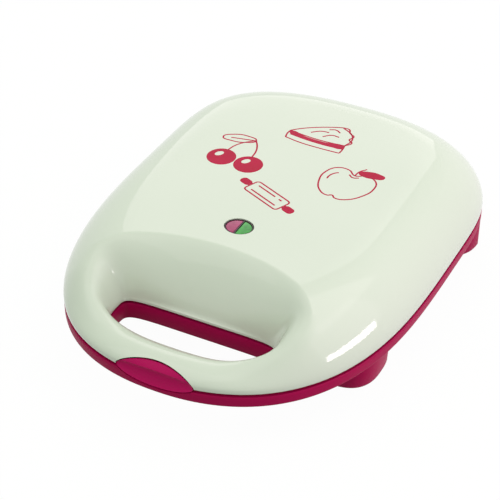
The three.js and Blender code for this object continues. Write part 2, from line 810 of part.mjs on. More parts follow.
function traySolid(inset, top) {
  const low = rimHeight - trayDepth + inset;
  const bandLow = baseTopZ - bandHeight + inset / 2;
  const under = trayCurveShares.map(([inShare, upShare]) => {
    return raise(bodyOutline(trayCurve * inShare + inset), low + (bandLow - low) * upShare);
  });
  return loft([...under, raise(bodyOutline(inset), bandLow + baseWall / 2), raise(bodyOutline(inset), top)]);
}

function tubSolid(inset, top) {
  const low = tubFloor + inset;
  return loft([
    raise(tubOutline(tubDraft + baseWall + inset), low), raise(tubOutline(tubDraft + inset), low + baseWall),
    raise(tubOutline(inset), top),
  ]);
}

function legSolid(x, y, inset, low) {
  const ring = (draft, z) => {
    const half = [legHalfWidth - draft - inset, legHalfDepth - draft - inset];
    return raise(roundedSquare(...half, y, legSquareShare, legStepCount), z)
      .map((point) => point.setX(point.x + x));
  };
  const high = baseTopZ - bandHeight / 2;
  return loft([ring(legDraft + baseWall, low), ring(legDraft, low + baseWall), ring(0, high)]);
}

function baseShell() {
  const trimmed = prism(bodyOutline(0), 0, baseTopZ);
  const legs = union(legPlaces.map(([x, y]) => legSolid(x, y, 0, legFoot))).intersect(trimmed);
  const legRoom = union(legPlaces.map(([x, y]) => legSolid(x, y, baseWall, legFoot + padHeight)));
  const outer = traySolid(0, baseTopZ).add(tubSolid(0, tubTopZ)).add(legs);
  let inner = traySolid(baseWall, baseTopZ + overrun).add(tubSolid(baseWall, tubTopZ + baseWall));
  inner = inner.add(legRoom.intersect(prism(bodyOutline(baseWall), 0, baseTopZ)));
  const ledge = lowerPlateTopZ - plateThickness - fitGap;
  const deck = prism(bodyOutline(baseWall / 2), ledge - baseWall, baseTopZ);
  let shell = outer.subtract(inner).add(deck.subtract(plateSeat(ledge)));
  shell = shell.add(prism(slotOutline(slotWall), rimHeight - trayDepth, baseTopZ));
  shell = shell.add(latchHousing()).add(baseEars()).add(housingBosses());
  shell = shell.subtract(prism(slotOutline(0), 0, lidTopZ)).subtract(latchNotch()).add(catchLip());
  shell = shell.subtract(hingeHoles()).subtract(screwHoles()).subtract(padRooms()).subtract(glandHole());
  return named('base_shell', shell, magenta);
}

function plateSeat(ledge) {
  return prism(plateOutline(fitGap), ledge, lidTopZ).add(prism(plateOutline(-plateLedge), 0, lidTopZ));
}

function latchHousing() {
  const half = latchHalfWidth + latchGap + baseWall;
  const back = -frontDepth + catchInset + baseWall;
  const body = block([-half, -frontDepth - overrun, 0], [half, back, baseTopZ]);
  return body.intersect(traySolid(0, baseTopZ));
}

function latchNotch() {
  const from = -frontDepth - overrun;
  return halfEye(latchHalfWidth + latchGap, latchDrop + latchGap, rimHeight, from, -frontDepth + catchInset);
}

function catchLip() {
  const wallY = -frontDepth + catchInset;
  const low = baseTopZ - catchHeight;
  return block([-catchHalfWidth, wallY - catchReach, low], [catchHalfWidth, wallY + baseWall, baseTopZ]);
}

function baseEars() {
  const start = lidKnuckleWidth / 2 + knuckleGap;
  return union([-1, 1].flatMap((side) => [-1, 1].map((way) => {
    const middle = side * hingeSpread + way * (start + earWidth / 2);
    const ear = crossRod(knuckleRadius, earWidth / 2, hingeY, rimHeight).translate([middle, 0, 0]);
    const from = [middle - earWidth / 2, backDepth - armReach, baseTopZ - bandHeight];
    return ear.add(block(from, [middle + earWidth / 2, hingeY, baseTopZ]));
  })));
}

function hingeHoles() {
  return crossRod(hingePinRadius + fitGap, bodyWidth, hingeY, rimHeight);
}

function housingBosses() {
  const high = tubFloor + housingBossHeight;
  return union(bossPlaces.map(([x, y]) => post(housingBossRadius, x, y, tubFloor, high)));
}

function screwHoles() {
  return union(bossPlaces.map(([x, y]) => {
    const head = post(screwHeadRadius + fitGap, x, y, 0, tubFloor + screwHeadHeight + fitGap);
    return head.add(post(screwRadius + fitGap, x, y, 0, tubFloor + housingBossHeight + overrun));
  }));
}

function padRooms() {
  const high = padHeight + fitGap;
  return union(bossPlaces.map(([x, y]) => post(padRadius + fitGap, x, y, 0, high, roundStepCount)));
}

function glandHole() {
  const hole = post(glandNeck + fitGap, 0, 0, 0, overrun + tubDraft + 2 * baseWall, roundStepCount);
  return hole.rotate([90, 0, 0]).translate([0, tubBackY + overrun, glandZ]);
}

// Where the sloping rear wall of the tub stands at a height, on the outside or in by the wall
function tubWallY(z, inset) {
  const slope = tubDraft / (tubTopZ - tubFloor - baseWall);
  return tubBackY - inset - slope * (tubTopZ + inset - z);
}

function glandInsideY() {
  return tubWallY(glandZ - glandFlange, baseWall) - fitGap;
}

function cordGland() {
  const outside = tubWallY(glandZ + glandFlange, 0) + fitGap;
  const inside = glandInsideY();
  const nut = glandFlange - glandTaper;
  const profile = [
    [glandBore, -inside + glandFlangeThickness], [nut, -inside + glandFlangeThickness],
    [nut, -inside], [glandNeck, -inside], [glandNeck, -outside],
    [glandFlange, -outside], [glandFlange, -outside - glandFlangeThickness],
    [glandNeck, -outside - glandReach], [glandBore, -outside - glandReach],
  ];
  const body = turned(profile.reverse(), 0, 0, roundStepCount);
  return named('cord_gland', body.rotate([90, 0, 0]).translate([0, 0, glandZ]), rubber);
}

function footPad(name, x, y) {
  const rim = padRadius - padCorner;
  const profile = [[0, 0], [rim, 0], [padRadius, padCorner], [padRadius, padHeight], [0, padHeight]];
  return named(name, turned(profile, x, y, roundStepCount), rubber);
}

// A screw driven upwards: its head at the bottom and its shank in the boss above
function screwUp(name, x, y, seat, headHeight) {
  const head = post(screwHeadRadius, x, y, seat, seat + headHeight);
  const shank = post(screwRadius, x, y, seat + headHeight / 2, seat + screwLength);
  return named(name, head.add(shank), steel);
}

// Latch

// How far in the front of the bar lies at a height over the rim
function barInset(height) {
  const share = THREE.MathUtils.clamp((height - lipHeight) / (barHeight - lipHeight), 0, 1);
  return barRound * (1 - (1 - share ** (1 / roundUpShare)) ** (1 / roundInShare));
}

// One upright section of the tab: a lip under the arch, then the dish that the finger pulls. Each
// place is a share of the drop or rise and of the dish, and all of them close up at the tab's ends.
function latchSection(share) {
  const x = latchHalfWidth * share;
  const swell = Math.sqrt(1 - share * share);
  const rise = latchRise * swell;
  const at = (inset, z) => new THREE.Vector3(x, frontEdgeY(x) + inset, rimHeight + z);
  const dish = dishShares.map(([down, inward]) => {
    const z = -latchDrop * swell * down;
    return at((fitGap + latchDish * inward) * swell, z);
  });
  const lip = [latchLipRise, (latchLipRise + latchRise) / 2, latchRise].map((height) => {
    return at(barInset(height * swell) + fitGap * swell, height * swell);
  });
  const top = barInset(rise) + latchThickness / 2;
  const back = latchDish + latchThickness;
  return [
    at(latchThickness * swell, -latchDrop * swell), at(back * swell, 0),
    at(top + latchThickness * swell, rise / 2), at(top, rise), ...lip.reverse(), ...dish.reverse(),
  ];
}

function latch() {
  const sections = Array.from({ length: 2 * latchStepCount + 1 }, (_, step) => {
    const place = (step - latchStepCount) / latchStepCount;
    return latchSection(Math.sin((place * latchEndShare * Math.PI) / 2));
  });
  const edge = -frontDepth + latchThickness;
  let body = loft(sections);
  const low = rimHeight + looseGap;
  body = body.add(block([-latchWebHalf, edge, low], [latchWebHalf, pivotY, pivotZ]));
  body = body.add(crossRod(latchBarrelRadius, latchBarrelHalf, pivotY, pivotZ));
  body = body.subtract(crossRod(latchPinRadius + fitGap, bodyWidth, pivotY, pivotZ));
  const hookTop = baseTopZ - catchHeight - catchPlay;
  const hookHalf = catchHalfWidth - looseGap;
  const hookBack = -frontDepth + catchInset - catchReach + catchOverlap;
  body = body.add(block([-hookHalf, edge, hookTop - catchHeight], [hookHalf, hookBack, hookTop]));
  return named('latch', body, magenta);
}

function latchPin() {
  return named('latch_pin', crossRod(latchPinRadius, latchPinHalf, pivotY, pivotZ), steel);
}

class SpringLine extends THREE.Curve {
  getPoint(t, target = new THREE.Vector3()) {
    const radius = latchPinRadius + fitGap + springWire;
    const angle = t * springTurnCount * Math.PI * 2;
    const x = latchBarrelHalf + looseGap + springWire / 2 + t * springTurnCount * springPitch;
    return target.set(x, pivotY + radius * Math.cos(angle), pivotZ + radius * Math.sin(angle));
  }
}

function latchSpring() {
  const steps = springTurnCount * springStepCount;
  return named('latch_spring', tube(new SpringLine(), springWire / 2, steps, 2), steel);
}

// Lamp window in the top, with its two lenses, and the neon lamps lying on their holder below

function lampOutline(inset) {
  return roundedSquare(lampHalfWidth - inset, lampHalfDepth - inset, lampY, 2, lampStepCount);
}

function lampBezel() {
  const low = lampTopZ - lampBezelDepth;
  const ring = prism(lampOutline(0), low, lampTopZ).subtract(prism(lampOutline(lampRim), 0, lidTopZ));
  const reach = lampHalfDepth - lampRim / 2;
  const bar = block([-lampDivider / 2, lampY - reach, low], [lampDivider / 2, lampY + reach, lampTopZ]);
  return named('lamp_bezel', ring.add(bar), darkPlastic);
}

function lampLens(name, side, material) {
  const lens = prism(lampOutline(lampRim + fitGap), lampTopZ - lampLensThickness, lampTopZ - fitGap);
  const ends = [side * (lampDivider / 2 + fitGap), side * lampHalfWidth].sort((a, b) => a - b);
  const half = block([ends[0], lampY - lampHalfDepth, 0], [ends[1], lampY + lampHalfDepth, lidTopZ]);
  return named(name, lens.intersect(half), material);
}

function lampHolder() {
  const low = lampHolderZ - lampHolderThickness;
  const reach = lampPostX + lampPostRadius;
  const body = block([-reach, lampY - neonLength / 2, low], [reach, lampY + neonLength / 2, lampHolderZ]);
  return named('lamp_holder', body, ceramic);
}

function neonLamp(name, side) {
  const glass = crossRod(neonRadius, neonLength / 2, 0, 0, smallStepCount).rotate([0, 0, 90]);
  const z = lampHolderZ + fitGap + neonRadius;
  return named(name, glass.translate([(side * neonSpacing) / 2, lampY, z]), neonGlass);
}

function hingePin(name, x) {
  const half = lidKnuckleWidth / 2 + knuckleGap + earWidth;
  return named(name, crossRod(hingePinRadius, half, hingeY, rimHeight).translate([x, 0, 0]), steel);
}

const pieMaker = new THREE.Group();
pieMaker.position.y = (frontDepth - hingeY - knuckleRadius) / 2;
pieMaker.add(lidCover(), lidLiner(), lowerPlate(), upperPlate(), baseShell());
pieMaker.add(heater('lower_heating_element', lowerHeaterZ), heater('upper_heating_element', upperHeaterZ));
pieMaker.add(lowerReflector(), upperReflector(), thermostat(), thermalFuse(), terminalBlock(), cordGland());
pieMaker.add(latch(), latchPin(), latchSpring());
pieMaker.add(lampBezel(), lampLens('lamp_lens_red', -1, redLens), lampLens('lamp_lens_green', 1, greenLens));
pieMaker.add(lampHolder(), neonLamp('neon_lamp_power', -1), neonLamp('neon_lamp_ready', 1));
pieMaker.add(hingePin('hinge_pin_left', -hingeSpread), hingePin('hinge_pin_right', hingeSpread));

const corners = ['front_left', 'front_right', 'rear_left', 'rear_right'];
for (const [index, corner] of corners.entries()) {
  pieMaker.add(footPad(`foot_pad_${corner}`, ...bossPlaces[index]));
  pieMaker.add(screwUp(`base_screw_${corner}`, ...bossPlaces[index], tubFloor, screwHeadHeight));
}
for (const [index, [x, y]] of linerScrewPlaces.entries()) {
  pieMaker.add(screwUp(`liner_screw_${index + 1}`, x, y, rimHeight + fitGap, linerHeadHeight - fitGap));
}

export default pieMaker;
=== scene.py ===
# Electric pie maker, closed: white lid over a magenta base, looked down on from its front right.
import math

import bpy
import numpy as np
from mathutils import Matrix, Vector


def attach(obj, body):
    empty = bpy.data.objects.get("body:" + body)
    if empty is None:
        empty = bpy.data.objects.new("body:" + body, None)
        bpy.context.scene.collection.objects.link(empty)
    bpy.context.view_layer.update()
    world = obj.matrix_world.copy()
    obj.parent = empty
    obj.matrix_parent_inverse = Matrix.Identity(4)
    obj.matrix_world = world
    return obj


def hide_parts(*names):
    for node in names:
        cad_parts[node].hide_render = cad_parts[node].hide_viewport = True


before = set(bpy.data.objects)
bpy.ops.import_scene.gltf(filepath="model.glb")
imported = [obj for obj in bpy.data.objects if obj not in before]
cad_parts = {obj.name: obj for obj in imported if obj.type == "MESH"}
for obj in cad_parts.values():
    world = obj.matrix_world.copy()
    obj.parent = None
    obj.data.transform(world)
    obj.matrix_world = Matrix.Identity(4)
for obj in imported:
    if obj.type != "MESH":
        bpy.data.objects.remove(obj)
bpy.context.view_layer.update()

# Camera: the cooker is looked down on from its front right corner, about 1.07 m away, through a
# long lens.
look_at = Vector((-0.008218, -0.021123, 0.040))
look_distance = 1.069431
look_round = math.radians(27.197)
look_down = math.radians(36.13)
toward_viewer = Vector((
    math.sin(look_round) * math.cos(look_down),
    -math.cos(look_round) * math.cos(look_down),
    math.sin(look_down),
))
viewer_right = Vector((math.cos(look_round), math.sin(look_round), 0))
viewer_up = toward_viewer.cross(viewer_right)
bpy.ops.object.camera_add()
camera = bpy.context.object
camera.name = "camera"
place = Matrix((viewer_right, viewer_up, toward_viewer)).transposed().to_4x4()
place.translation = look_at + toward_viewer * look_distance
camera.matrix_world = place
camera.data.lens = 108
camera.data.sensor_width = 36
bpy.context.scene.camera = camera
bpy.context.scene.view_settings.view_transform = "Standard"

# Studio: a pale floor that keeps a trace of the cooker's shadow, a white surround, broad soft lamps
# at the right, behind and in front, and a low strip at the right that draws the glints.


class Signal:
    """A node's output that can stand in a sum, each sum adding its own Math node."""

    def __init__(self, finish, output):
        self.finish = finish
        self.output = output

    def __add__(self, other):
        return self.finish.sum("ADD", self, other)

    __radd__ = __add__

    def __mul__(self, other):
        return self.finish.sum("MULTIPLY", self, other)

    __rmul__ = __mul__


class Finish:
    """A material, or the world, as one tree of nodes."""

    def __init__(self, owner, end="ShaderNodeOutputMaterial"):
        self.owner = owner
        owner.use_nodes = True
        self.tree = owner.node_tree
        self.tree.nodes.clear()
        self.end = self.tree.nodes.new(end)

    def node(self, kind, settings=None, output=0, **inputs):
        """Adds a node, its settings first, then its sockets by name, or by i and a number."""
        made = self.tree.nodes.new(kind)
        for name, value in (settings or {}).items():
            if name == "stops":
                ramp = made.color_ramp
                while len(ramp.elements) < len(value):
                    ramp.elements.new(1.0)
                for stop, (at, colour) in zip(ramp.elements, value):
                    stop.position = at
                    stop.color = colour
            else:
                setattr(made, name, value)
        for name, value in inputs.items():
            key = int(name[1:]) if name[0] == "i" and name[1:].isdigit() else name.replace("_", " ")
            socket = made.inputs[key]
            if isinstance(value, Signal):
                self.tree.links.new(value.output, socket)
            else:
                socket.default_value = value
        return Signal(self, made.outputs[output])

    def sum(self, operation, *values):
        """Adds a Math node over signals and numbers."""
        inputs = {"i%d" % place: value for place, value in enumerate(values)}
        return self.node("ShaderNodeMath", {"operation": operation}, **inputs)

    def close(self, shader):
        """Ends the tree in a shader, and gives back the material or the world."""
        self.tree.links.new(shader.output, self.end.inputs[0])
        return self.owner


def paint(red, green, blue):
    """A colour from its 0 to 255 screen values, as light."""
    return tuple(
        (value / 255 / 12.92) if value <= 10 else ((value / 255 + 0.055) / 1.055) ** 2.4
        for value in (red, green, blue)
    ) + (1.0,)


def seen_directly(finish):
    """One for a ray from the camera, off gloss or through glass, and nought for any other."""
    seen = finish.node("ShaderNodeLightPath", output="Is Camera Ray")
    rays = seen.output.node.outputs
    for ray in ("Is Glossy Ray", "Is Transmission Ray"):
        seen = finish.sum("MAXIMUM", seen, Signal(finish, rays[ray]))
    return seen


surround = Finish(bpy.data.worlds.new("surround"), "ShaderNodeOutputWorld")
bpy.context.scene.world = surround.owner
fill = surround.node("ShaderNodeBackground", Color=paint(238, 255, 234), Strength=0.70)
backdrop = surround.node("ShaderNodeBackground", Color=paint(255, 255, 255), Strength=1.0)
surround.close(surround.node(
    "ShaderNodeMixShader", i0=seen_directly(surround), i1=fill, i2=backdrop))

floor_glow_share = 0.85
bpy.ops.mesh.primitive_plane_add(size=6, location=(0, 0, -0.0004))
floor = bpy.context.object
floor.name = "floor"
pale = Finish(bpy.data.materials.new("pale_floor"))
shade = pale.node("ShaderNodeBsdfDiffuse", Color=paint(135, 135, 135))
glow = pale.node("ShaderNodeEmission", Color=paint(255, 255, 255), Strength=1.14)
floor.data.materials.append(pale.close(pale.node(
    "ShaderNodeMixShader", i0=seen_directly(pale) * floor_glow_share, i1=shade, i2=glow)))

# Each lamp: degrees round from the front and up from level, its width and height, its power.
lamp_aim = Vector((0, 0, 0.05))
lamp_distance = 1.6
lamp_colour = (1.0, 0.86, 0.94)
for name, round_by, up_by, width, height, power in (
        ("right_high_lamp", 112, 58, 1.2, 1.2, 3.6),
        ("right_lamp", 97, 25, 1.2, 1.2, 2.2),
        ("right_strip", 97, 4, 0.9, 0.24, 6.6),
        ("back_lamp", 204, 30, 1.2, 1.2, 4.0),
        ("front_lamp", 325, 56, 1.2, 1.2, 2.4)):
    round_by, up_by = math.radians(round_by), math.radians(up_by)
    level = lamp_distance * math.cos(up_by)
    place = lamp_aim + Vector((
        level * math.sin(round_by), -level * math.cos(round_by), lamp_distance * math.sin(up_by)))
    bpy.ops.object.light_add(type="AREA", location=place)
    lamp = bpy.context.object
    lamp.name = name
    lamp.data.shape = "RECTANGLE"
    lamp.data.size = width
    lamp.data.size_y = height
    lamp.data.energy = power
    lamp.data.color = lamp_colour
    lamp.rotation_euler = (lamp_aim - place).to_track_quat("-Z", "Y").to_euler()

# Lid cover: one glossy white moulding, 2.8 mm thick, that carries the pillow-shaped top, the
# slope down to the finger slot and the handle bar. The rings of its surface run from the rim
# in to the slot, so that the skin has one even run of faces.
rim_z = 0.040
middle_y = 0.0356
side_reach, back_reach, front_reach = 0.12499, 0.1277, 0.2092
# How square the body's outline is, across and along.
front_squares, back_squares = (2.228, 3.346), (2.336, 4.092)
lid_rise, lip_rise = 0.04365, 0.003
# The top rolls over to the rim within edge_reach, by these two powers.
edge_reach, edge_full, edge_turn = 0.047, 2.1, 0.65
slot_half, slot_back, slot_middle, slot_front = 0.0585, -0.144, -0.160, -0.1802
slot_square_back, slot_square_front = 6.5, 2.4
slot_edge_front, slot_edge_back, slot_ledge = 0.0040, 0.0018, 0.045
# The hollow round the slot: its reach, its crease at the slot's foot, and how it falls.
hollow_half, hollow_back, hollow_front = 0.087, 0.0465, 0.038
hollow_crease, crease_round = 0.45, 0.08
bar_fall, side_fall = 2.0, 2.5
bar_rise, bar_edge = 0.0123, 0.020
# Degrees round the slot: where the bar starts to turn into the top and over how many, and where
# the ledge starts and over how many.
bar_bearing, bar_turn = -70, 75
ledge_bearing, ledge_turn = 20, 40
lid_wall = 0.0028


def body_squares(front):
    """How square the body's outline is, across and along, at its front or its back."""
    return [np.where(front, *pair) for pair in zip(front_squares, back_squares)]


def body_point(angle, inset=0.0):
    """A point of the body's outline seen from above, by its angle round the middle."""
    across, along = np.cos(angle), np.sin(angle)
    front = along < 0
    square_across, square_along = body_squares(front)
    reach = np.where(front, front_reach, back_reach) - inset
    x = np.sign(across) * np.abs(across) ** (2 / square_across) * (side_reach - inset)
    return x, np.sign(along) * np.abs(along) ** (2 / square_along) * reach


def slot_point(angle, grow=0.0):
    """A point of the finger slot's outline: square at the back, rounder along the bar."""
    across, along = np.cos(angle), np.sin(angle)
    square = np.where(along > 0, slot_square_back, slot_square_front)
    reach = np.where(along > 0, slot_back - slot_middle, slot_middle - slot_front) + grow
    x = np.sign(across) * (slot_half + grow) * np.abs(across) ** (2 / square)
    return x, slot_middle + np.sign(along) * np.abs(along) ** (2 / square) * reach


def inset_of(x, y):
    """How far in from the body's outline a point lies, as the outline drawn in by that much."""
    front = y < 0
    square_across, square_along = body_squares(front)
    reach = np.where(front, front_reach, back_reach)
    low, high = np.zeros_like(x), np.full_like(x, side_reach - 1e-5)
    for _ in range(40):
        middle = (low + high) / 2
        across = (np.abs(x) / (side_reach - middle)) ** square_across
        along = (np.abs(y) / (reach - middle)) ** square_along
        inside = across + along < 1
        low, high = np.where(inside, middle, low), np.where(inside, high, middle)
    return low


def ease(share):
    """A share that starts and stops gently."""
    share = np.clip(share, 0, 1)
    return share * share * (3 - 2 * share)


def edge_round(share):
    """How high the top has risen, by the share of the edge's reach behind it."""
    return (1 - (1 - np.clip(share, 0, 1)) ** edge_full) ** edge_turn


def lid_height(x, y):
    """Height of the lid's skin over the rim."""
    back = y > slot_middle
    along = np.abs(y - slot_middle) / np.where(
        back, slot_back - slot_middle, slot_middle - slot_front)
    square = np.where(back, slot_square_back, slot_square_front)
    # Climb goes from nought at the slot's edge to one where the hollow ends.
    inner = ((np.abs(x) / slot_half) ** square + along ** square) ** (1 / square)
    outer = np.hypot(
        x / hollow_half, (y - slot_middle) / np.where(back, hollow_back, hollow_front))
    climb = outer * (inner - 1) / np.maximum(inner - outer, 1e-9)
    climb = np.where(outer >= 1, 1, np.clip(climb, 0, 1))
    # Aside goes from nought at the bar to one beside and behind the slot.
    bearing = np.degrees(np.arctan2(
        (y - slot_middle) / (slot_middle - slot_front), np.abs(x) / slot_half))
    aside = ease((bearing - bar_bearing) / bar_turn)
    ledge = slot_ledge * ease((bearing - ledge_bearing) / ledge_turn)
    climb = np.where(
        climb < 2 * ledge, climb ** 2 / np.maximum(4 * ledge, 1e-9), climb - ledge) / (1 - ledge)
    top = bar_rise + (lid_rise - bar_rise) * aside
    foot = slot_edge_front + (slot_edge_back - slot_edge_front) * aside
    fall = 1 - climb
    crease = hollow_crease * aside
    soft_fall = (1 + crease_round) * fall ** 2 / (fall + crease_round)
    plain_fall = fall ** (bar_fall + (side_fall - bar_fall) * aside)
    form = top - (top - foot) * (crease * soft_fall + (1 - crease) * plain_fall)
    risen = np.clip((form - bar_rise) / (lid_rise - bar_rise), 0, 1)
    reach = bar_edge + (edge_reach - bar_edge) * risen
    return lip_rise + (form - lip_rise) * edge_round(inset_of(x, y) / reach)


def inward(ring):
    """A ring of the skin moved in by the wall, square to the skin, and no lower than the rim."""
    x, y, _ = ring.T
    nudge = 0.0002
    lean = np.stack([
        (lid_height(x + nudge, y) - lid_height(x - nudge, y)) / (2 * nudge),
        (lid_height(x, y + nudge) - lid_height(x, y - nudge)) / (2 * nudge),
        -np.ones_like(x)], -1)
    moved = ring + lid_wall * lean / np.linalg.norm(lean, axis=1)[:, None]
    return np.c_[moved[:, :2], np.maximum(moved[:, 2], rim_z)]


def outline(point_at, half_count, spread=None):
    """The right half of a closed outline, front to back, in even steps or crowding to the front."""
    x, y = point_at(np.linspace(-np.pi / 2, np.pi / 2, 2000))
    length = np.r_[0, np.cumsum(np.hypot(np.diff(x), np.diff(y)))]
    length = length / length[-1]
    share = np.linspace(0, 1, half_count + 1)
    if spread:
        share = (np.sqrt(share + spread) - spread ** 0.5) / ((1 + spread) ** 0.5 - spread ** 0.5)
    half = np.stack([np.interp(share, length, x), np.interp(share, length, y)], -1)
    half[[0, -1], 0] = 0
    return half


def around(half):
    """The whole outline from its right half, mirrored."""
    return np.concatenate([half, half[-2:0:-1] * (-1, 1)])


def at_height(ring, z):
    """A flat ring lifted to a height."""
    return np.c_[ring, np.full(len(ring), z)]


def loft(name, rings, ends=True):
    """A mesh through rings of points, placed from the body's middle, with a face at each end."""
    rings = np.array(rings) + (0, middle_y, 0)
    levels, count = rings.shape[:2]
    faces = [
        (row * count + step, row * count + (step + 1) % count,
         (row + 1) * count + (step + 1) % count, (row + 1) * count + step)
        for row in range(levels - 1) for step in range(count)
    ]
    if ends:
        faces += [tuple(range(count))[::-1], tuple(range((levels - 1) * count, levels * count))]
    mesh = bpy.data.meshes.new(name)
    mesh.from_pydata(rings.reshape(-1, 3).tolist(), [], faces)
    piece = bpy.data.objects.new(name, mesh)
    bpy.context.scene.collection.objects.link(piece)
    return outward(piece) if ends else piece


def outward(piece):
    """Turns the faces of a closed piece outwards."""
    only(piece)
    bpy.ops.object.mode_set(mode="EDIT")
    bpy.ops.mesh.select_all(action="SELECT")
    bpy.ops.mesh.normals_make_consistent(inside=False)
    bpy.ops.object.mode_set(mode="OBJECT")
    return piece


def only(piece):
    """Selects one piece alone and makes it the active one."""
    bpy.ops.object.select_all(action="DESELECT")
    piece.select_set(True)
    bpy.context.view_layer.objects.active = piece
    return piece


def change(piece, kind, **settings):
    """Adds a modifier and applies it at once."""
    only(piece)
    step = piece.modifiers.new(kind.lower(), kind)
    for name, value in settings.items():
        setattr(step, name, value)
    bpy.ops.object.modifier_apply(modifier=step.name)
    return piece


def cut(piece, tool, operation="DIFFERENCE"):
    """Cuts a piece with another, or joins or crosses them, and takes the other away."""
    change(piece, "BOOLEAN", operation=operation, solver="EXACT", object=tool)
    bpy.data.objects.remove(tool, do_unlink=True)
    return piece


def join(piece, others):
    """Makes other pieces part of one."""
    bpy.ops.object.select_all(action="DESELECT")
    for other in others:
        other.select_set(True)
    piece.select_set(True)
    bpy.context.view_layer.objects.active = piece
    bpy.ops.object.join()
    return piece


def settle(piece):
    """Puts the origin at the world's, unturned and unscaled."""
    only(piece)
    bpy.ops.object.transform_apply(location=True, rotation=True, scale=True)
    return piece


def rod(name, radius, low, high, axis="Z", across=(0, 0), steps=48, depth=None):
    """A cylinder between two places on one axis; across gives its place on the other two.
    With a depth it is oval: its radius is across the body and its depth the other way."""
    middle = (low + high) / 2
    place, turn = {
        "X": ((middle, *across), (0, math.pi / 2, 0)),
        "Y": ((across[0], middle, across[1]), (math.pi / 2, 0, 0)),
        "Z": ((*across, middle), (0, 0, 0)),
    }[axis]
    bpy.ops.mesh.primitive_cylinder_add(
        vertices=steps, radius=radius, depth=high - low, location=place, rotation=turn)
    piece = bpy.context.object
    piece.name = name
    if depth:
        piece.scale = (1, depth / radius, 1)
    return settle(piece)


def cube(name, low, high):
    """A box between its lowest and its highest corner."""
    bpy.ops.mesh.primitive_cube_add(size=1, location=[(a + b) / 2 for a, b in zip(low, high)])
    piece = bpy.context.object
    piece.name = name
    piece.scale = [b - a for a, b in zip(low, high)]
    return settle(piece)


def rounded(piece, width, segments, degrees=50):
    """Rounds the edges that turn by more than some degrees."""
    return change(piece, "BEVEL", width=width, segments=segments,
                  limit_method="ANGLE", angle_limit=math.radians(degrees))


def smooth(piece, degrees=35):
    """Shades a piece smooth, but for the edges that turn by more than some degrees."""
    only(piece)
    bpy.ops.object.shade_smooth_by_angle(angle=math.radians(degrees))
    return piece


skin_steps, slot_crowding = 170, 0.03
side_rows, top_rows, slope_rows = 24, 18, 34
rim = outline(body_point, skin_steps)
mouth = outline(slot_point, skin_steps, slot_crowding)
way = mouth - rim
length = np.linalg.norm(way, axis=1)
flank = np.minimum(edge_reach, 0.6 * length) / length
# The slope takes the part of each way, from the rim in to the slot's mouth, inside the hollow.
walk = np.linspace(0, 1, 400)[:, None]
along = rim[None] + way[None] * walk[..., None]
hollow_reach = np.where(along[..., 1] > slot_middle, hollow_back, hollow_front)
outside = np.hypot(
    along[..., 0] / hollow_half, (along[..., 1] - slot_middle) / hollow_reach) > 1
slope = np.minimum(np.maximum(1 - (outside * walk).max(0), 0.05), 1 - flank)
# A row is how far along its way each of a ring's points lies.
rows = [flank * (step / side_rows) ** 1.7 for step in range(1, side_rows)]
rows += [flank + (1 - flank - slope) * (1 - (1 - step / top_rows) ** 2)
         for step in range(top_rows)]
rows += [1 - slope * (1 - step / slope_rows) ** 1.35 for step in range(slope_rows + 1)]


def rim_ring(inset, height):
    """The rim's ring, drawn in by an inset and lifted by a height."""
    return at_height(around(rim - np.sign(rim) * inset), rim_z + height)


skin_rings = [rim_ring(inset, height) for inset, height in (
    (0.0005, 0.0), (0.00015, 0.00015), (0.0, 0.0005), (0.0, 0.0018), (0.0, lip_rise))]
for row in rows:
    point = around(rim + way * row[:, None])
    skin_rings.append(np.c_[point, rim_z + lid_height(point[:, 0], point[:, 1])])
edge = skin_rings[-1]
# The wall's inner side leaves out the rim's five rings and the last eight above the slot.
inner_rings = [inward(ring) for ring in skin_rings[5:-8]]
skin_rings[-1] = edge - (0, 0, 0.0002)
skin_rings += [np.c_[edge[:, :2], edge[:, 2] - drop] for drop in (0.0007, 0.0012)]
skin_rings.append(at_height(edge[:, :2], rim_z))
slot_wall = outline(lambda angle: slot_point(angle, lid_wall), skin_steps, slot_crowding)
skin_rings.append(at_height(around(slot_wall), rim_z))
skin_rings += inner_rings[::-1]
skin_rings += [rim_ring(lid_wall, lip_rise), rim_ring(lid_wall, 0.0), skin_rings[0]]
lid_cover = loft("lid_cover_moulding", skin_rings, ends=False)
outward(change(lid_cover, "WELD", merge_threshold=0.000001))

arch_half, arch_rise, pivot_y, pivot_z = 0.0290, 0.0098, -0.1998 + middle_y, 0.0446
cut(lid_cover, rod("arch", arch_half, -0.20, pivot_y, "Y", (0, rim_z), 128, arch_rise))
lamp_y, lamp_hole_half, lamp_hole_deep = -0.089 + middle_y, 0.0106, 0.0092
cut(lid_cover, rod(
    "lamp_hole", lamp_hole_half, 0.0779, 0.09, "Z", (0, lamp_y), 96, lamp_hole_deep))

hinge_y, hinge_spread = 0.1328 + middle_y, 0.041
knuckle_radius, knuckle_half, pin_way_radius = 0.0052, 0.007, 0.0023


def knuckle(name, left, right):
    """A hinge knuckle between two places across the back, bored for its pin."""
    barrel = rod(name, knuckle_radius, left, right, "X", (hinge_y, rim_z), 64)
    return cut(barrel, rod("pin_way", pin_way_radius, -0.08, 0.08, "X", (hinge_y, rim_z), 40))


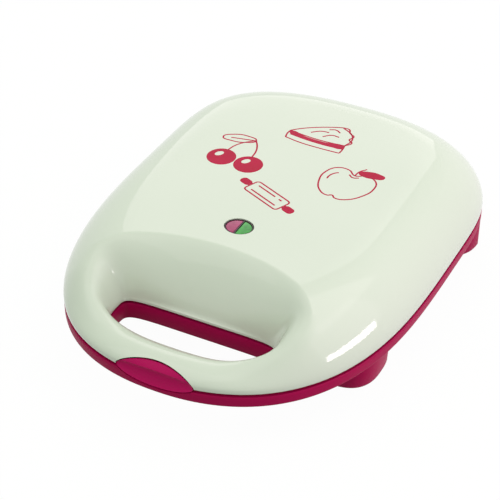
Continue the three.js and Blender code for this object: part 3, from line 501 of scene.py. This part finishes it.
fittings = []
for side in (-1, 1):
    left, right = side * hinge_spread - knuckle_half, side * hinge_spread + knuckle_half
    fittings.append(knuckle("knuckle", left, right))
    arm = cube("arm", (left, 0.1525, rim_z), (right, hinge_y - 0.003, 0.045))
    fittings.append(rounded(arm, 0.0006, 3))
screw_spots = ((0.079, -0.131), (0.111, -0.009), (hinge_spread + 0.009, 0.107))
boss_radius, boss_foot, skin_clear = 0.0045, 0.0428, 0.0065
for x, y in screw_spots:
    top = rim_z + float(lid_height(np.array([x]), np.array([y]))[0]) - skin_clear
    for side in (-1, 1):
        fittings.append(
            rod("boss", boss_radius, boss_foot, top, "Z", (side * x, y + middle_y), 32))
latch_boss_x, latch_boss_half, latch_boss_deep = 0.0275, 0.0035, 0.0024
for side in (-1, 1):
    fittings.append(rod("lamp_post", 0.0024, 0.0727, 0.082, "Z", (side * 0.0135, lamp_y), 24))
    middle = side * latch_boss_x
    fittings.append(cube(
        "latch_boss", (middle - latch_boss_half, pivot_y - latch_boss_deep, boss_foot),
        (middle + latch_boss_half, pivot_y + latch_boss_deep, 0.0463)))
join(lid_cover, fittings)
smooth(lid_cover, 40)


def noise(finish, scale, detail=2.0):
    """Noise that is fixed to the piece, with so many waves to the metre."""
    where = finish.node("ShaderNodeTexCoord", output="Object")
    return finish.node("ShaderNodeTexNoise", Vector=where, Scale=scale, Detail=detail)


def shades(finish, drift, dark, light, low=0.3, high=0.7):
    """A colour that goes from one shade to another as noise goes from low to high."""
    stops = [(low, paint(*dark)), (high, paint(*light))]
    return finish.node("ShaderNodeValToRGB", {"stops": stops}, Fac=drift)


def bump(finish, grain, strength, distance):
    """A grain that stands up from the surface."""
    return finish.node("ShaderNodeBump", Height=grain, Strength=strength, Distance=distance)


def surface(finish, colour, roughness, **more):
    """The finished material, from its colour, its roughness and what else its shader needs."""
    return finish.close(finish.node(
        "ShaderNodeBsdfPrincipled", Base_Color=colour, Roughness=roughness, **more))


gloss_white = Finish(bpy.data.materials.new("lid_white"))
cloud = noise(gloss_white, 7.0)
colour = shades(gloss_white, cloud, (228, 232, 222), (231, 234, 225), 0.35, 0.65)
lid_cover.data.materials.append(surface(
    gloss_white, colour, cloud * 0.03 + 0.04,
    Normal=bump(gloss_white, noise(gloss_white, 260.0), 0.03, 0.0003)))
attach(lid_cover, "lid")
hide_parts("lid_cover")

# Base housing: one magenta moulding, with the flat deck under the lid's rim, the band round it,
# the tray that curves in below, the walls of the finger slot, the tub and its four legs.
deck_z, tray_z = 0.0394, 0.025
tray_curve, tray_curve_rise, curve_steps = 0.0275, 0.0057, 16
groove_deep, band_top, band_foot = 0.0032, 0.0352, 0.0312
plate_half, plate_half_deep, plate_middle, plate_square = 0.102, 0.107, -0.009, 5
base_steps = 120


def squared(half_x, half_y, centre, square, steps=128):
    """A rounded square seen from above, as a ring of points."""
    angle = np.linspace(0, 2 * np.pi, steps, endpoint=False)
    across, along = np.cos(angle), np.sin(angle)
    x = centre[0] + half_x * np.sign(across) * np.abs(across) ** (2 / square)
    y = centre[1] + half_y * np.sign(along) * np.abs(along) ** (2 / square)
    return np.stack([x, y], -1)


def plate_ring(grow, z):
    """A ring round the two plates, grown by so much."""
    return at_height(squared(
        plate_half + grow, plate_half_deep + grow, (0, plate_middle), plate_square), z)


def body_ring(inset, z):
    """A ring round the body, drawn in by an inset."""
    return at_height(around(outline(lambda angle: body_point(angle, inset), base_steps)), z)


def slot_ring(grow, z):
    """A ring round the finger slot, grown by so much."""
    half = outline(lambda angle: slot_point(angle, grow), base_steps, slot_crowding)
    return at_height(around(half), z)


# Up the slot's wall, back by a groove and up to the deck, over it, down to a groove at the rim and
# out, then down the band and in under the tray.
tray_rings = [slot_ring(grow, z) for grow, z in (
    (0.0005, tray_z), (0.00015, tray_z + 0.00015), (0.0, tray_z + 0.0005), (0.0, deck_z - 0.0021),
    (0.0002, deck_z - 0.0018), (groove_deep, deck_z - 0.0017), (groove_deep, deck_z))]
tray_rings += [body_ring(inset, z) for inset, z in (
    (groove_deep, deck_z), (groove_deep, deck_z - 0.0016), (0.0002, deck_z - 0.0017),
    (0.0, deck_z - 0.0020), (0.0, band_top), (0.0, band_foot))]
for step in range(1, curve_steps + 1):
    turn = math.pi / 2 * (1 - step / curve_steps)
    tray_rings.append(body_ring(
        tray_curve * (1 - math.sin(turn)), tray_z + tray_curve_rise * (1 - math.cos(turn))))
tray_rings.append(tray_rings[0])
base = loft("base_housing", tray_rings, ends=False)
outward(change(base, "WELD", merge_threshold=0.000001))
tub_half, tub_half_deep, tub_middle, tub_square = 0.107, 0.1155, -0.0025, 4


def tub_ring(inset, z):
    """A ring round the tub, drawn in by an inset."""
    return at_height(squared(
        tub_half - inset, tub_half_deep - inset, (0, tub_middle), tub_square), z)


tub = loft("tub", [tub_ring(inset, z) for inset, z in (
    (0.0110, 0.0040), (0.0090, 0.0043), (0.0076, 0.0052), (0.0069, 0.0068), (0.0, 0.0300))])
cut(base, tub, "UNION")
leg_half, leg_half_deep, leg_square = 0.028, 0.030, 2.6
legs = []
for x, y in ((0.086, -0.095), (-0.086, -0.095), (0.093, 0.0775), (-0.093, 0.0775)):
    legs.append(loft("leg", [
        at_height(squared(leg_half - draft, leg_half_deep - draft, (x, y), leg_square, 72), z)
        for draft, z in (
            (0.0052, 0.0012), (0.0037, 0.0015), (0.0026, 0.0024), (0.0020, 0.0038), (0.0015, 0.013),
            (0.0009, 0.022), (0.0, 0.0344))]))
legs = join(legs[0], legs[1:])
cut(legs, loft("trim", [body_ring(0.0002, 0.0), body_ring(0.0002, 0.038)]), "INTERSECT")
cut(base, legs, "UNION")
cut(base, loft("seat", [plate_ring(0.0003, 0.03855), plate_ring(0.0003, 0.045)]))
cut(base, loft("cavity", [plate_ring(-0.012, 0.0065), plate_ring(-0.012, 0.0235),
                          plate_ring(-0.004, 0.0245), plate_ring(-0.004, 0.045)]))
gland_z = 0.0188
cut(base, cube("wiring_room", (-0.018, 0.115, 0.0065), (0.018, 0.1402, 0.0262)))
cut(base, rod("gland_hole", 0.0047, 0.13, 0.165, "Y", (0, gland_z), 48))
cut(base, rod("latch_notch", arch_half, -0.20, -0.2002 + middle_y, "Y", (0, rim_z), 128, 0.0074))
pad_x, pad_front, pad_rear = 0.080, -0.093, 0.075
for x in (-pad_x, pad_x):
    for y in (pad_front, pad_rear):
        cut(base, rod("pad_room", 0.0093, -0.001, 0.0033, "Z", (x, y + middle_y), 64))
catch = cube("catch_lip", (-0.012, -0.2024 + middle_y, 0.0374), (0.012, -0.1982 + middle_y, deck_z))
ears = [rounded(catch, 0.0003, 2)]
ear_spread, ear_half = 0.0109, 0.0035
for side in (-1, 1):
    for way_out in (-1, 1):
        middle = side * hinge_spread + way_out * ear_spread
        ears.append(knuckle("ear", middle - ear_half, middle + ear_half))
        foot = cube("ear_foot", (middle - ear_half, 0.146, 0.0296),
                    (middle + ear_half, hinge_y - 0.002, 0.0392))
        ears.append(rounded(foot, 0.0005, 2))
join(base, ears)
smooth(base, 38)
magenta = Finish(bpy.data.materials.new("base_magenta"))
cloud = noise(magenta, 8.0)
colour = shades(magenta, cloud, (174, 8, 78), (180, 11, 83))
magenta_finish = surface(
    magenta, colour, cloud * 0.08 + 0.42, Specular_IOR_Level=0.1,
    Normal=bump(magenta, noise(magenta, 700.0, 1.0), 0.05, 0.0002))
base.data.materials.append(magenta_finish)
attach(base, "base")
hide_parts("base_shell")

# Latch: a dished magenta moulding that fills the arch in the bar and turns on a pin behind it. Its
# bright upper face leans back to the arch, and under the lip the dish that the finger pulls runs
# down past the rim, in front of the hook.
latch_half, latch_rise, latch_drop = 0.0282, 0.0090, 0.0066
latch_lip, latch_lip_inset = 0.0053, 0.0022
tab_steps, tab_share = 61, 0.97


def bar_inset(height):
    """How far in from the outline the bar's skin is at a height over the rim."""
    share = np.clip((height - lip_rise) / (bar_rise - lip_rise), 0, 1)
    return bar_edge * (1 - (1 - share ** (1 / edge_turn)) ** (1 / edge_full))


def front_edge(x):
    """Where the body's outline runs at the front, by the place across it."""
    square_across, square_along = front_squares
    return -front_reach * (1 - (np.abs(x) / side_reach) ** square_across) ** (1 / square_along)


# Up the dish: a share of its drop while below nought, then of the lip's height, and the inset.
dish_line = [(-1.0, 0.0004), (-0.96, 0.0007), (-0.84, 0.0013), (-0.66, 0.0021), (-0.42, 0.0029),
             (-0.15, 0.0036), (0.15, 0.0041), (0.42, 0.0043), (0.64, 0.0042), (0.80, 0.0038),
             (0.90, 0.0033), (0.96, 0.0028), (0.99, 0.0024)]
# The tab's sections crowd towards its two tips, and swell from them to the middle.
tab_rings = []
for share in np.sin(np.linspace(-1, 1, tab_steps) * tab_share * np.pi / 2):
    swell = math.sqrt(1 - share * share)
    x = latch_half * share
    start = float(front_edge(x))
    lip = min(latch_lip * swell ** 0.5, 0.8 * latch_rise * swell)
    lip_inset = latch_lip_inset * swell
    ring = []
    for level, inset in dish_line:
        height = level * latch_drop * swell if level < 0 else level * lip
        ring.append((x, start + 0.0002 + inset * swell, rim_z + height))
    high = latch_rise * swell
    high_inset = float(bar_inset(np.array(high))) + 0.0005
    for step in range(9):
        along = step / 8
        ring.append((x, start + lip_inset + (high_inset - lip_inset) * along ** 1.15,
                     rim_z + lip + (high - lip) * along))
    ring += [(x, start + high_inset + 0.0011 * swell, rim_z + high - 0.0004 * swell),
             (x, start + high_inset + 0.0022 * swell, rim_z + 0.55 * high),
             (x, start + 0.0088 * swell, rim_z),
             (x, start + 0.0040 * swell, rim_z - latch_drop * swell)]
    tab_rings.append(ring)
latch = loft("latch_tab", tab_rings)
barrel = rod("barrel", 0.0024, -0.016, 0.016, "X", (pivot_y, pivot_z), 40)
cut(barrel, rod("pin_way", 0.0017, -0.02, 0.02, "X", (pivot_y, pivot_z), 32))
web_front = -0.2045 + middle_y
web = cube("web", (-0.013, web_front, 0.0408), (0.013, pivot_y - 0.0018, 0.0446))
hook = cube("hook", (-0.0112, web_front, 0.0346), (0.0112, -0.2018 + middle_y, 0.0366))
join(latch, [barrel, web, rounded(hook, 0.0003, 2)])
smooth(latch, 50)
tab_finish = Finish(bpy.data.materials.new("latch_magenta"))
cloud = noise(tab_finish, 30.0)
colour = shades(tab_finish, cloud, (198, 12, 98), (204, 15, 103))
latch.data.materials.append(surface(
    tab_finish, colour, cloud * 0.06 + 0.24, Specular_IOR_Level=0.1))
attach(latch, "latch")
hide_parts("latch")

# Lamp window: a dark oval bezel let into the lid's top, with a divider and two clear half lenses,
# red on the left and green on the right, each with a neon lamp below.
bezel_half, bezel_half_deep, bezel_foot, bezel_top = 0.0103, 0.0089, 0.0782, 0.0832
hole_half, hole_half_deep = 0.0094, 0.0080
lens_half, lens_half_deep, lens_foot, lens_top = 0.0092, 0.0078, 0.0812, 0.0829
bezel = rod(
    "lamp_bezel_ring", bezel_half, bezel_foot, bezel_top, "Z", (0, lamp_y), 96, bezel_half_deep)
cut(bezel, rod("inside", hole_half, 0.07, 0.09, "Z", (0, lamp_y), 96, hole_half_deep))
rounded(bezel, 0.00025, 2)
join(bezel, [cube("divider", (-0.00045, lamp_y - 0.0082, bezel_foot),
                  (0.00045, lamp_y + 0.0082, bezel_top - 0.0001))])
smooth(bezel)
dark = Finish(bpy.data.materials.new("bezel_dark"))
cloud = noise(dark, 90.0)
colour = shades(dark, cloud, (44, 10, 22), (56, 14, 28))
bezel.data.materials.append(surface(dark, colour, cloud * 0.1 + 0.25))
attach(bezel, "lid")
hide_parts("lamp_bezel")
for side, name, slot_name, deep, light in (
        (-1, "lamp_lens_red", "red_lens", (150, 28, 82), (176, 52, 108)),
        (1, "lamp_lens_green", "green_lens", (22, 132, 34), (52, 172, 60))):
    lens = rod(
        name + "_window", lens_half, lens_foot, lens_top, "Z", (0, lamp_y), 96, lens_half_deep)
    ends = sorted((side * 0.00075, side * 0.02))
    cut(lens, cube("half", (ends[0], -0.08, 0.07), (ends[1], -0.02, 0.09)), "INTERSECT")
    smooth(rounded(lens, 0.0005, 4))
    glowing_tint = Finish(bpy.data.materials.new(name + "_clear"))
    cloud = noise(glowing_tint, 220.0)
    colour = shades(glowing_tint, cloud, deep, light)
    # The lens gives off a faint light in its own colour. This is a painted glow: the neon lamps
    # below give no light.
    lens.data.materials.append(surface(
        glowing_tint, colour, cloud * 0.06 + 0.08, Emission_Color=colour, Emission_Strength=0.12))
    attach(lens, "lid")
    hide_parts(name)

# Printed decoration on the lid's top: a slice of pie, a pair of cherries, an apple and a rolling
# pin, in a diamond. Each stroke is a thin raised line of ink, and some shapes are full.
ink = Finish(bpy.data.materials.new("print_magenta"))
cloud = noise(ink, 60.0)
colour = shades(ink, cloud, (192, 14, 62), (200, 18, 70))
ink_finish = surface(ink, colour, cloud * 0.1 + 0.3, Specular_IOR_Level=0.1)
# Half a line's and a full shape's thickness before they are pressed flat, how flat, and how deep
# they sink into the lid.
line_half, full_half, print_flat, print_sunk = 0.00076, 0.0007, 0.05, 0.00002


def circle(x, y, radius, squash=1.0, start=0, stop=360, lean=0.0):
    """Points of an arc, in millimetres, leaning by some degrees."""
    count = max(5, int(abs(stop - start) / 24) + 1)
    lean = math.radians(lean)
    points = []
    for angle in np.radians(np.linspace(start, stop, count)):
        across, along = radius * math.cos(angle), radius * squash * math.sin(angle)
        points.append((x + across * math.cos(lean) - along * math.sin(lean),
                       y + across * math.sin(lean) + along * math.cos(lean)))
    return points


def box(x, y, long, wide, radius):
    """Points round a box with round corners, in millimetres."""
    points = []
    for side, end, start in ((1, 1, 0), (-1, 1, 90), (-1, -1, 180), (1, -1, 270)):
        corner = (x + side * (long - radius), y + end * (wide - radius))
        points += circle(*corner, radius, 1, start, start + 90)
    return points + points[:1]


def drawing(name, centre, turn, strokes, full=(), handle="AUTO"):
    """Thin raised lines on the lid's top through the points of each stroke, and full shapes."""
    parts = []
    for shapes, solid in ((strokes, False), (full, True)):
        if not shapes:
            continue
        curve = bpy.data.curves.new(name, "CURVE")
        curve.dimensions = "2D" if solid else "3D"
        curve.resolution_u = 6
        if solid:
            curve.fill_mode = "BOTH"
            curve.extrude = full_half
        else:
            curve.bevel_depth = line_half
            curve.bevel_resolution = 3
            curve.use_fill_caps = True
        for points in shapes:
            closed = math.dist(points[0], points[-1]) < 0.01
            points = points[:-1] if closed else points
            line = curve.splines.new("BEZIER")
            line.bezier_points.add(len(points) - 1)
            line.use_cyclic_u = closed
            for knot, (x, y) in zip(line.bezier_points, points):
                knot.co = (x / 1000, y / 1000, 0)
                knot.handle_left_type = knot.handle_right_type = handle
        part = bpy.data.objects.new(name, curve)
        bpy.context.scene.collection.objects.link(part)
        part.location = (centre[0], centre[1] + middle_y, rim_z + lid_rise - print_sunk)
        part.rotation_euler.z = math.radians(turn)
        part.scale.z = print_flat
        only(part)
        bpy.ops.object.convert(target="MESH")
        parts.append(settle(bpy.context.object))
    piece = parts[0]
    if parts[1:]:
        join(piece, parts[1:])
    smooth(piece, 60)
    piece.data.materials.append(ink_finish)
    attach(piece, "lid")


slice_lines = [
    [(-24, -8), (-12, -12), (4, -15), (20, -17)], [(-24, -8), (-24, -2), (-23, 2)],
    [(20, -17), (21, -11), (21, -6)],
    [(-23, 2), (-16, 7), (-6, 12), (5, 16), (13, 18)],
    [(21, -6), (24, 2), (22, 10), (13, 18)],
    [(-23, 2), (-10, -2), (6, -5), (21, -6)],
    [(13, 18), (18, 17), (20, 12), (24, 8), (22, 3), (25, -1), (21, -6)],
    [(-22, -3), (-8, -7), (8, -10), (21, -11)],
    [(-8, 4), (-1, 8), (5, 8)], [(2, 1), (8, 5), (14, 4)], [(4, 12), (9, 13), (13, 10)],
]
left_cherry, right_cherry = circle(-10, -9, 10.2), circle(12, -12, 10.2)
cherry_lines = [
    left_cherry, right_cherry,
    [(-9, 1), (-6, 9), (0, 16), (6, 20)], [(11, -2), (11, 6), (9, 14), (6, 20)],
    [(6, 20), (-2, 24), (-12, 23), (-19, 17), (-11, 14), (-1, 15), (6, 20)],
    [(6, 20), (-4, 19), (-13, 18)],
]
apple_leaf = [(1, 16), (7, 21), (14, 22), (19, 20), (12, 15), (5, 14), (1, 16)]
apple_lines = [
    [(0, 11), (7, 15), (16, 13), (20, 4), (18, -8), (10, -19), (3, -21), (0, -19), (-3, -21),
     (-10, -19), (-18, -8), (-20, 4), (-16, 13), (-7, 15), (0, 11)],
    [(0, 11), (0, 17), (3, 23)], apple_leaf, circle(-8, 0, 7, 1.3, 120, 200),
    [(-4, 10), (0, 8), (4, 10)],
]
pin_lines = [
    box(0, 0, 17.5, 7.0, 2.5), box(-23.0, 0, 4.2, 2.7, 2.2), box(23.0, 0, 4.2, 2.7, 2.2),
    [(-17.5, 1.4), (-19.0, 1.4)], [(-17.5, -1.4), (-19.0, -1.4)],
    [(17.5, 1.4), (19.0, 1.4)], [(17.5, -1.4), (19.0, -1.4)],
    [(-13, 3.4), (5, 3.4)], [(9, 3.4), (12, 3.4)], [(-13, -3.6), (13, -3.6)],
]
slice_face = [(-23, 1.0), (-10, -3), (6, -6), (21, -7), (21, -10.4), (8, -9.4), (-8, -6.4),
              (-22, -2.4), (-23, 1.0)]
drawing("print_slice", (0.0, 0.0400), 8, slice_lines, [slice_face])
drawing("print_cherries", (-0.0430, -0.0070), 6, cherry_lines, [
    left_cherry, circle(-13, -5.5, 2.4, 1.5, lean=-40),
    right_cherry, circle(9, -8.5, 2.4, 1.5, lean=-40)])
drawing("print_apple", (0.0430, -0.0070), -8, apple_lines, [apple_leaf])
drawing("print_rolling_pin", (0.0, -0.0470), -24, pin_lines, pin_lines[1:3], "VECTOR")

# Lid liner: the magenta moulding that closes the lid from below, round the upper plate and the
# finger slot. Six screws hold it to the lid's bosses.
liner_foot, liner_top, seat_radius = 0.0403, 0.0425, 0.0035
liner = loft("lid_liner_panel", [
    body_ring(0.0036, liner_foot), body_ring(0.0034, 0.0405), body_ring(0.0034, liner_top)])
cut(liner, loft("plate_way", [plate_ring(0.0008, 0.03), plate_ring(0.0008, 0.05)]))
cut(liner, loft("slot_way", [slot_ring(0.0027, 0.03), slot_ring(0.0027, 0.05)]))
cut(liner, cube("latch_room", (-0.0319, -0.20, 0.03), (0.0319, pivot_y + 0.0032, 0.05)))
screw_places = [(side * x, y + middle_y) for side in (-1, 1) for x, y in screw_spots]
for place in screw_places:
    cut(liner, rod("seat", seat_radius, 0.03, 0.0417, "Z", place, 40))
rounded(liner, 0.0003, 2, 60)
smooth(liner)
liner.data.materials.append(magenta_finish)
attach(liner, "lid")
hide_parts("lid_liner")

# Upper plate: die-cast under black non-stick, with a shallow dome over each cup and a flange that
# hangs on the liner.
cup_spread, cup_spread_deep, cup_way = 0.049, 0.050, 0.0448
dome_radius, dome_foot, dome_rise = 0.0440, 0.0425, 0.0086
shell_out, shell_foot, shell_rise = 0.0026, 0.0430, 0.0107
cup_places = [(side * cup_spread, plate_middle + end * cup_spread_deep)
              for end in (-1, 1) for side in (-1, 1)]


def turned(name, profile, x, y, steps=96):
    """A solid of revolution from its (radius, height) points, closed on itself."""
    angle = np.linspace(0, 2 * np.pi, steps, endpoint=False)
    rings = [np.stack([x + r * np.cos(angle), y + r * np.sin(angle), np.full(steps, z)], -1)
             for r, z in profile + profile[:1]]
    piece = loft(name, rings, ends=False)
    return outward(change(piece, "WELD", merge_threshold=0.000002))


def plate(name, rings):
    """A plate through its rings, open where its four cups go."""
    piece = loft(name, rings)
    for x, y in cup_places:
        cut(piece, rod("cup_way", cup_way, 0.0, 0.1, "Z", (x, y + middle_y), 96))
    return piece


upper = plate("upper_plate_casting", [
    plate_ring(-0.0004, 0.04215), plate_ring(-0.0001, 0.04225), plate_ring(0.0, 0.0426),
    plate_ring(0.0, 0.0431), plate_ring(0.0036, 0.0431), plate_ring(0.0040, 0.0434),
    plate_ring(0.0040, 0.0461)])
dome = [(cup_way, 0.04215), (0.0443, 0.04222), (dome_radius, dome_foot)]
dome += [(dome_radius * math.cos(turn), dome_foot + dome_rise * math.sin(turn) ** 1.3)
         for turn in np.linspace(0.08, 1.45, 14)]
dome += [(0.0002, 0.0511), (0.0002, 0.0537)]
dome += [(dome_radius * math.cos(turn) + shell_out,
          shell_foot + shell_rise * math.sin(turn) ** 1.2)
         for turn in np.linspace(1.45, 0.0, 12)]
dome += [(0.0466, 0.0431), (cup_way, 0.0431)]
join(upper, [turned("dome", dome, x, y) for x, y in cup_places])
smooth(upper, 40)
non_stick = Finish(bpy.data.materials.new("non_stick_coat"))
speck = noise(non_stick, 900.0)
colour = shades(non_stick, speck, (30, 30, 32), (52, 52, 54), 0.42, 0.66)
coat_finish = surface(
    non_stick, colour, noise(non_stick, 14.0, 3.0) * 0.14 + 0.36,
    Normal=bump(non_stick, speck, 0.15, 0.0002))
upper.data.materials.append(coat_finish)
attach(upper, "lid")
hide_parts("upper_plate")

# Lower plate: the same casting with four deep cups, their walls leaning in to a rounded floor. It
# lies in the base's seat, and four screws hold it from below.
lower = plate("lower_plate_casting", [
    plate_ring(0.0, 0.0389), plate_ring(0.0, 0.0413), plate_ring(-0.0001, 0.0417),
    plate_ring(-0.0005, 0.04185)])
wall_foot, wall_foot_z, wall_top, wall_top_z = 0.0371, 0.0252, 0.0440, 0.0410
floor_radius, floor_turn, floor_drop = 0.0321, 0.0050, 0.0049
cup = [(cup_way, 0.04185), (0.0444, 0.04180), (0.0441, 0.0414)]
cup += [(wall_foot + (wall_top - wall_foot) * share,
         wall_foot_z + (wall_top_z - wall_foot_z) * share)
        for share in (1.0, 0.75, 0.5, 0.25, 0.0)]
cup += [(floor_radius + floor_turn * math.cos(turn), wall_foot_z - floor_drop * math.sin(turn))
        for turn in np.linspace(0.15, math.pi / 2, 8)]
cup += [(0.0002, 0.0203), (0.0002, 0.0177), (0.0320, 0.0177), (0.0370, 0.0195), (0.0395, 0.0240),
        (0.0466, 0.0388), (0.0466, 0.0395), (cup_way, 0.0395)]
join(lower, [turned("cup", cup, x, y) for x, y in cup_places])
smooth(lower, 40)
lower.data.materials.append(coat_finish)
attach(lower, "base")
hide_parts("lower_plate")

# Fasteners and pins: bright steel. The liner's screws have a head with a round edge and a cross
# recess, and a pin at each side goes through the lid's knuckle and the base's two ears.
steel = Finish(bpy.data.materials.new("bright_steel"))
cloud = noise(steel, 240.0)
colour = shades(steel, cloud, (186, 188, 192), (204, 206, 208))
steel_finish = surface(steel, colour, cloud * 0.2 + 0.22, Metallic=1.0)
head_radius, head_foot, head_top = 0.0032, 0.0403, 0.0414
shank_radius, shank_foot, shank_top = 0.0015, 0.0412, 0.0543
recess_long, recess_wide, recess_top = 0.0018, 0.00035, 0.0409
for number, (x, y) in enumerate(screw_places, 1):
    screw = rod(
        "liner_screw_%d_cross" % number, head_radius, head_foot, head_top, "Z", (x, y), 40)
    rounded(screw, 0.0004, 3)
    for long, wide in ((recess_long, recess_wide), (recess_wide, recess_long)):
        cut(screw, cube("slot", (x - long, y - wide, 0.0400), (x + long, y + wide, recess_top)))
    join(screw, [rod("shank", shank_radius, shank_foot, shank_top, "Z", (x, y), 24)])
    smooth(screw)
    screw.data.materials.append(steel_finish)
    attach(screw, "lid")
    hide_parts("liner_screw_%d" % number)
pin_radius, pin_half = 0.002, 0.0144
for side, word in ((-1, "left"), (1, "right")):
    middle = side * hinge_spread
    pin = rod("hinge_pin_%s_rod" % word, pin_radius, middle - pin_half, middle + pin_half,
              "X", (hinge_y, rim_z), 48)
    smooth(rounded(pin, 0.0004, 3))
    pin.data.materials.append(steel_finish)
    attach(pin, "base")
    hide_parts("hinge_pin_%s" % word)

# Rubber: four pads, each let into the underside of a leg, and the gland at the back that takes a
# mains lead.
rubber = Finish(bpy.data.materials.new("dark_rubber"))
grain = noise(rubber, 600.0)
colour = shades(rubber, grain, (30, 30, 31), (42, 42, 43), 0.35, 0.65)
rubber_finish = surface(
    rubber, colour, grain * 0.1 + 0.7, Normal=bump(rubber, grain, 0.3, 0.0002))
pad_radius, pad_thick = 0.009, 0.003
for end, y in (("front", pad_front), ("rear", pad_rear)):
    for side, word in ((-1, "left"), (1, "right")):
        pad = rod("foot_pad_%s_%s_disc" % (end, word), pad_radius, 0.0, pad_thick, "Z",
                  (side * pad_x, y + middle_y), 64)
        smooth(rounded(pad, 0.0007, 3))
        pad.data.materials.append(rubber_finish)
        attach(pad, "base")
        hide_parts("foot_pad_%s_%s" % (end, word))
# The gland's profile: its radius, and how far back it is from the body's middle.
gland_line = [
    (0.0032, -0.1018), (0.0050, -0.1018), (0.0052, -0.1020), (0.0052, -0.1041), (0.0050, -0.1043),
    (0.0044, -0.1043), (0.0044, -0.1118), (0.0060, -0.1118), (0.0062, -0.1120), (0.0062, -0.1139),
    (0.0059, -0.1143), (0.0052, -0.1160), (0.0052, -0.1172), (0.0048, -0.1172), (0.0048, -0.1184),
    (0.0050, -0.1184), (0.0050, -0.1194), (0.0044, -0.1208), (0.0034, -0.1208), (0.0032, -0.1206)]
gland = turned("cord_gland_collar", gland_line, 0.0, -middle_y, 64)
gland.rotation_euler.x = math.pi / 2
gland.location = (0, middle_y, gland_z)
gland.scale.z = -1
smooth(outward(settle(gland)))
gland.data.materials.append(rubber_finish)
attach(gland, "base")
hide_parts("cord_gland")

# Inside, seen only where a cover is off: heaters, base screws, latch pin and spring in steel, the
# reflectors in rolled sheet, the pale heat-proof bodies and the two neon lamps. All keep the
# solids' own forms.
sheet = Finish(bpy.data.materials.new("reflector_sheet"))
where = sheet.node("ShaderNodeTexCoord", output="Object")
rolled = sheet.node("ShaderNodeMapping", Vector=where, Scale=(20.0, 900.0, 20.0))
streak = sheet.node("ShaderNodeTexNoise", Vector=rolled, Scale=1.0, Detail=2.0)
colour = shades(sheet, streak, (206, 208, 211), (222, 224, 226))
sheet_finish = surface(sheet, colour, streak * 0.15 + 0.25, Metallic=1.0)
pale_body = Finish(bpy.data.materials.new("heat_proof_body"))
grain = noise(pale_body, 420.0, 3.0)
colour = shades(pale_body, grain, (222, 214, 198), (233, 227, 213), 0.35, 0.65)
pale_finish = surface(pale_body, colour, grain * 0.15 + 0.6)
neon = Finish(bpy.data.materials.new("neon_glass"))
cloud = noise(neon, 300.0)
colour = shades(neon, cloud, (238, 214, 196), (246, 228, 212))
neon_finish = surface(neon, colour, cloud * 0.05 + 0.05, Coat_Weight=0.5)
carried = {
    steel_finish: (
        "lower_heating_element", "upper_heating_element", "latch_pin", "latch_spring",
        "base_screw_front_left", "base_screw_front_right", "base_screw_rear_left",
        "base_screw_rear_right"),
    sheet_finish: ("lower_reflector", "upper_reflector"),
    pale_finish: ("thermostat", "thermal_fuse", "terminal_block", "lamp_holder"),
    neon_finish: ("neon_lamp_power", "neon_lamp_ready"),
}
for finish, names in carried.items():
    for name in names:
        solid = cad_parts[name]
        solid.data.materials.clear()
        solid.data.materials.append(finish)
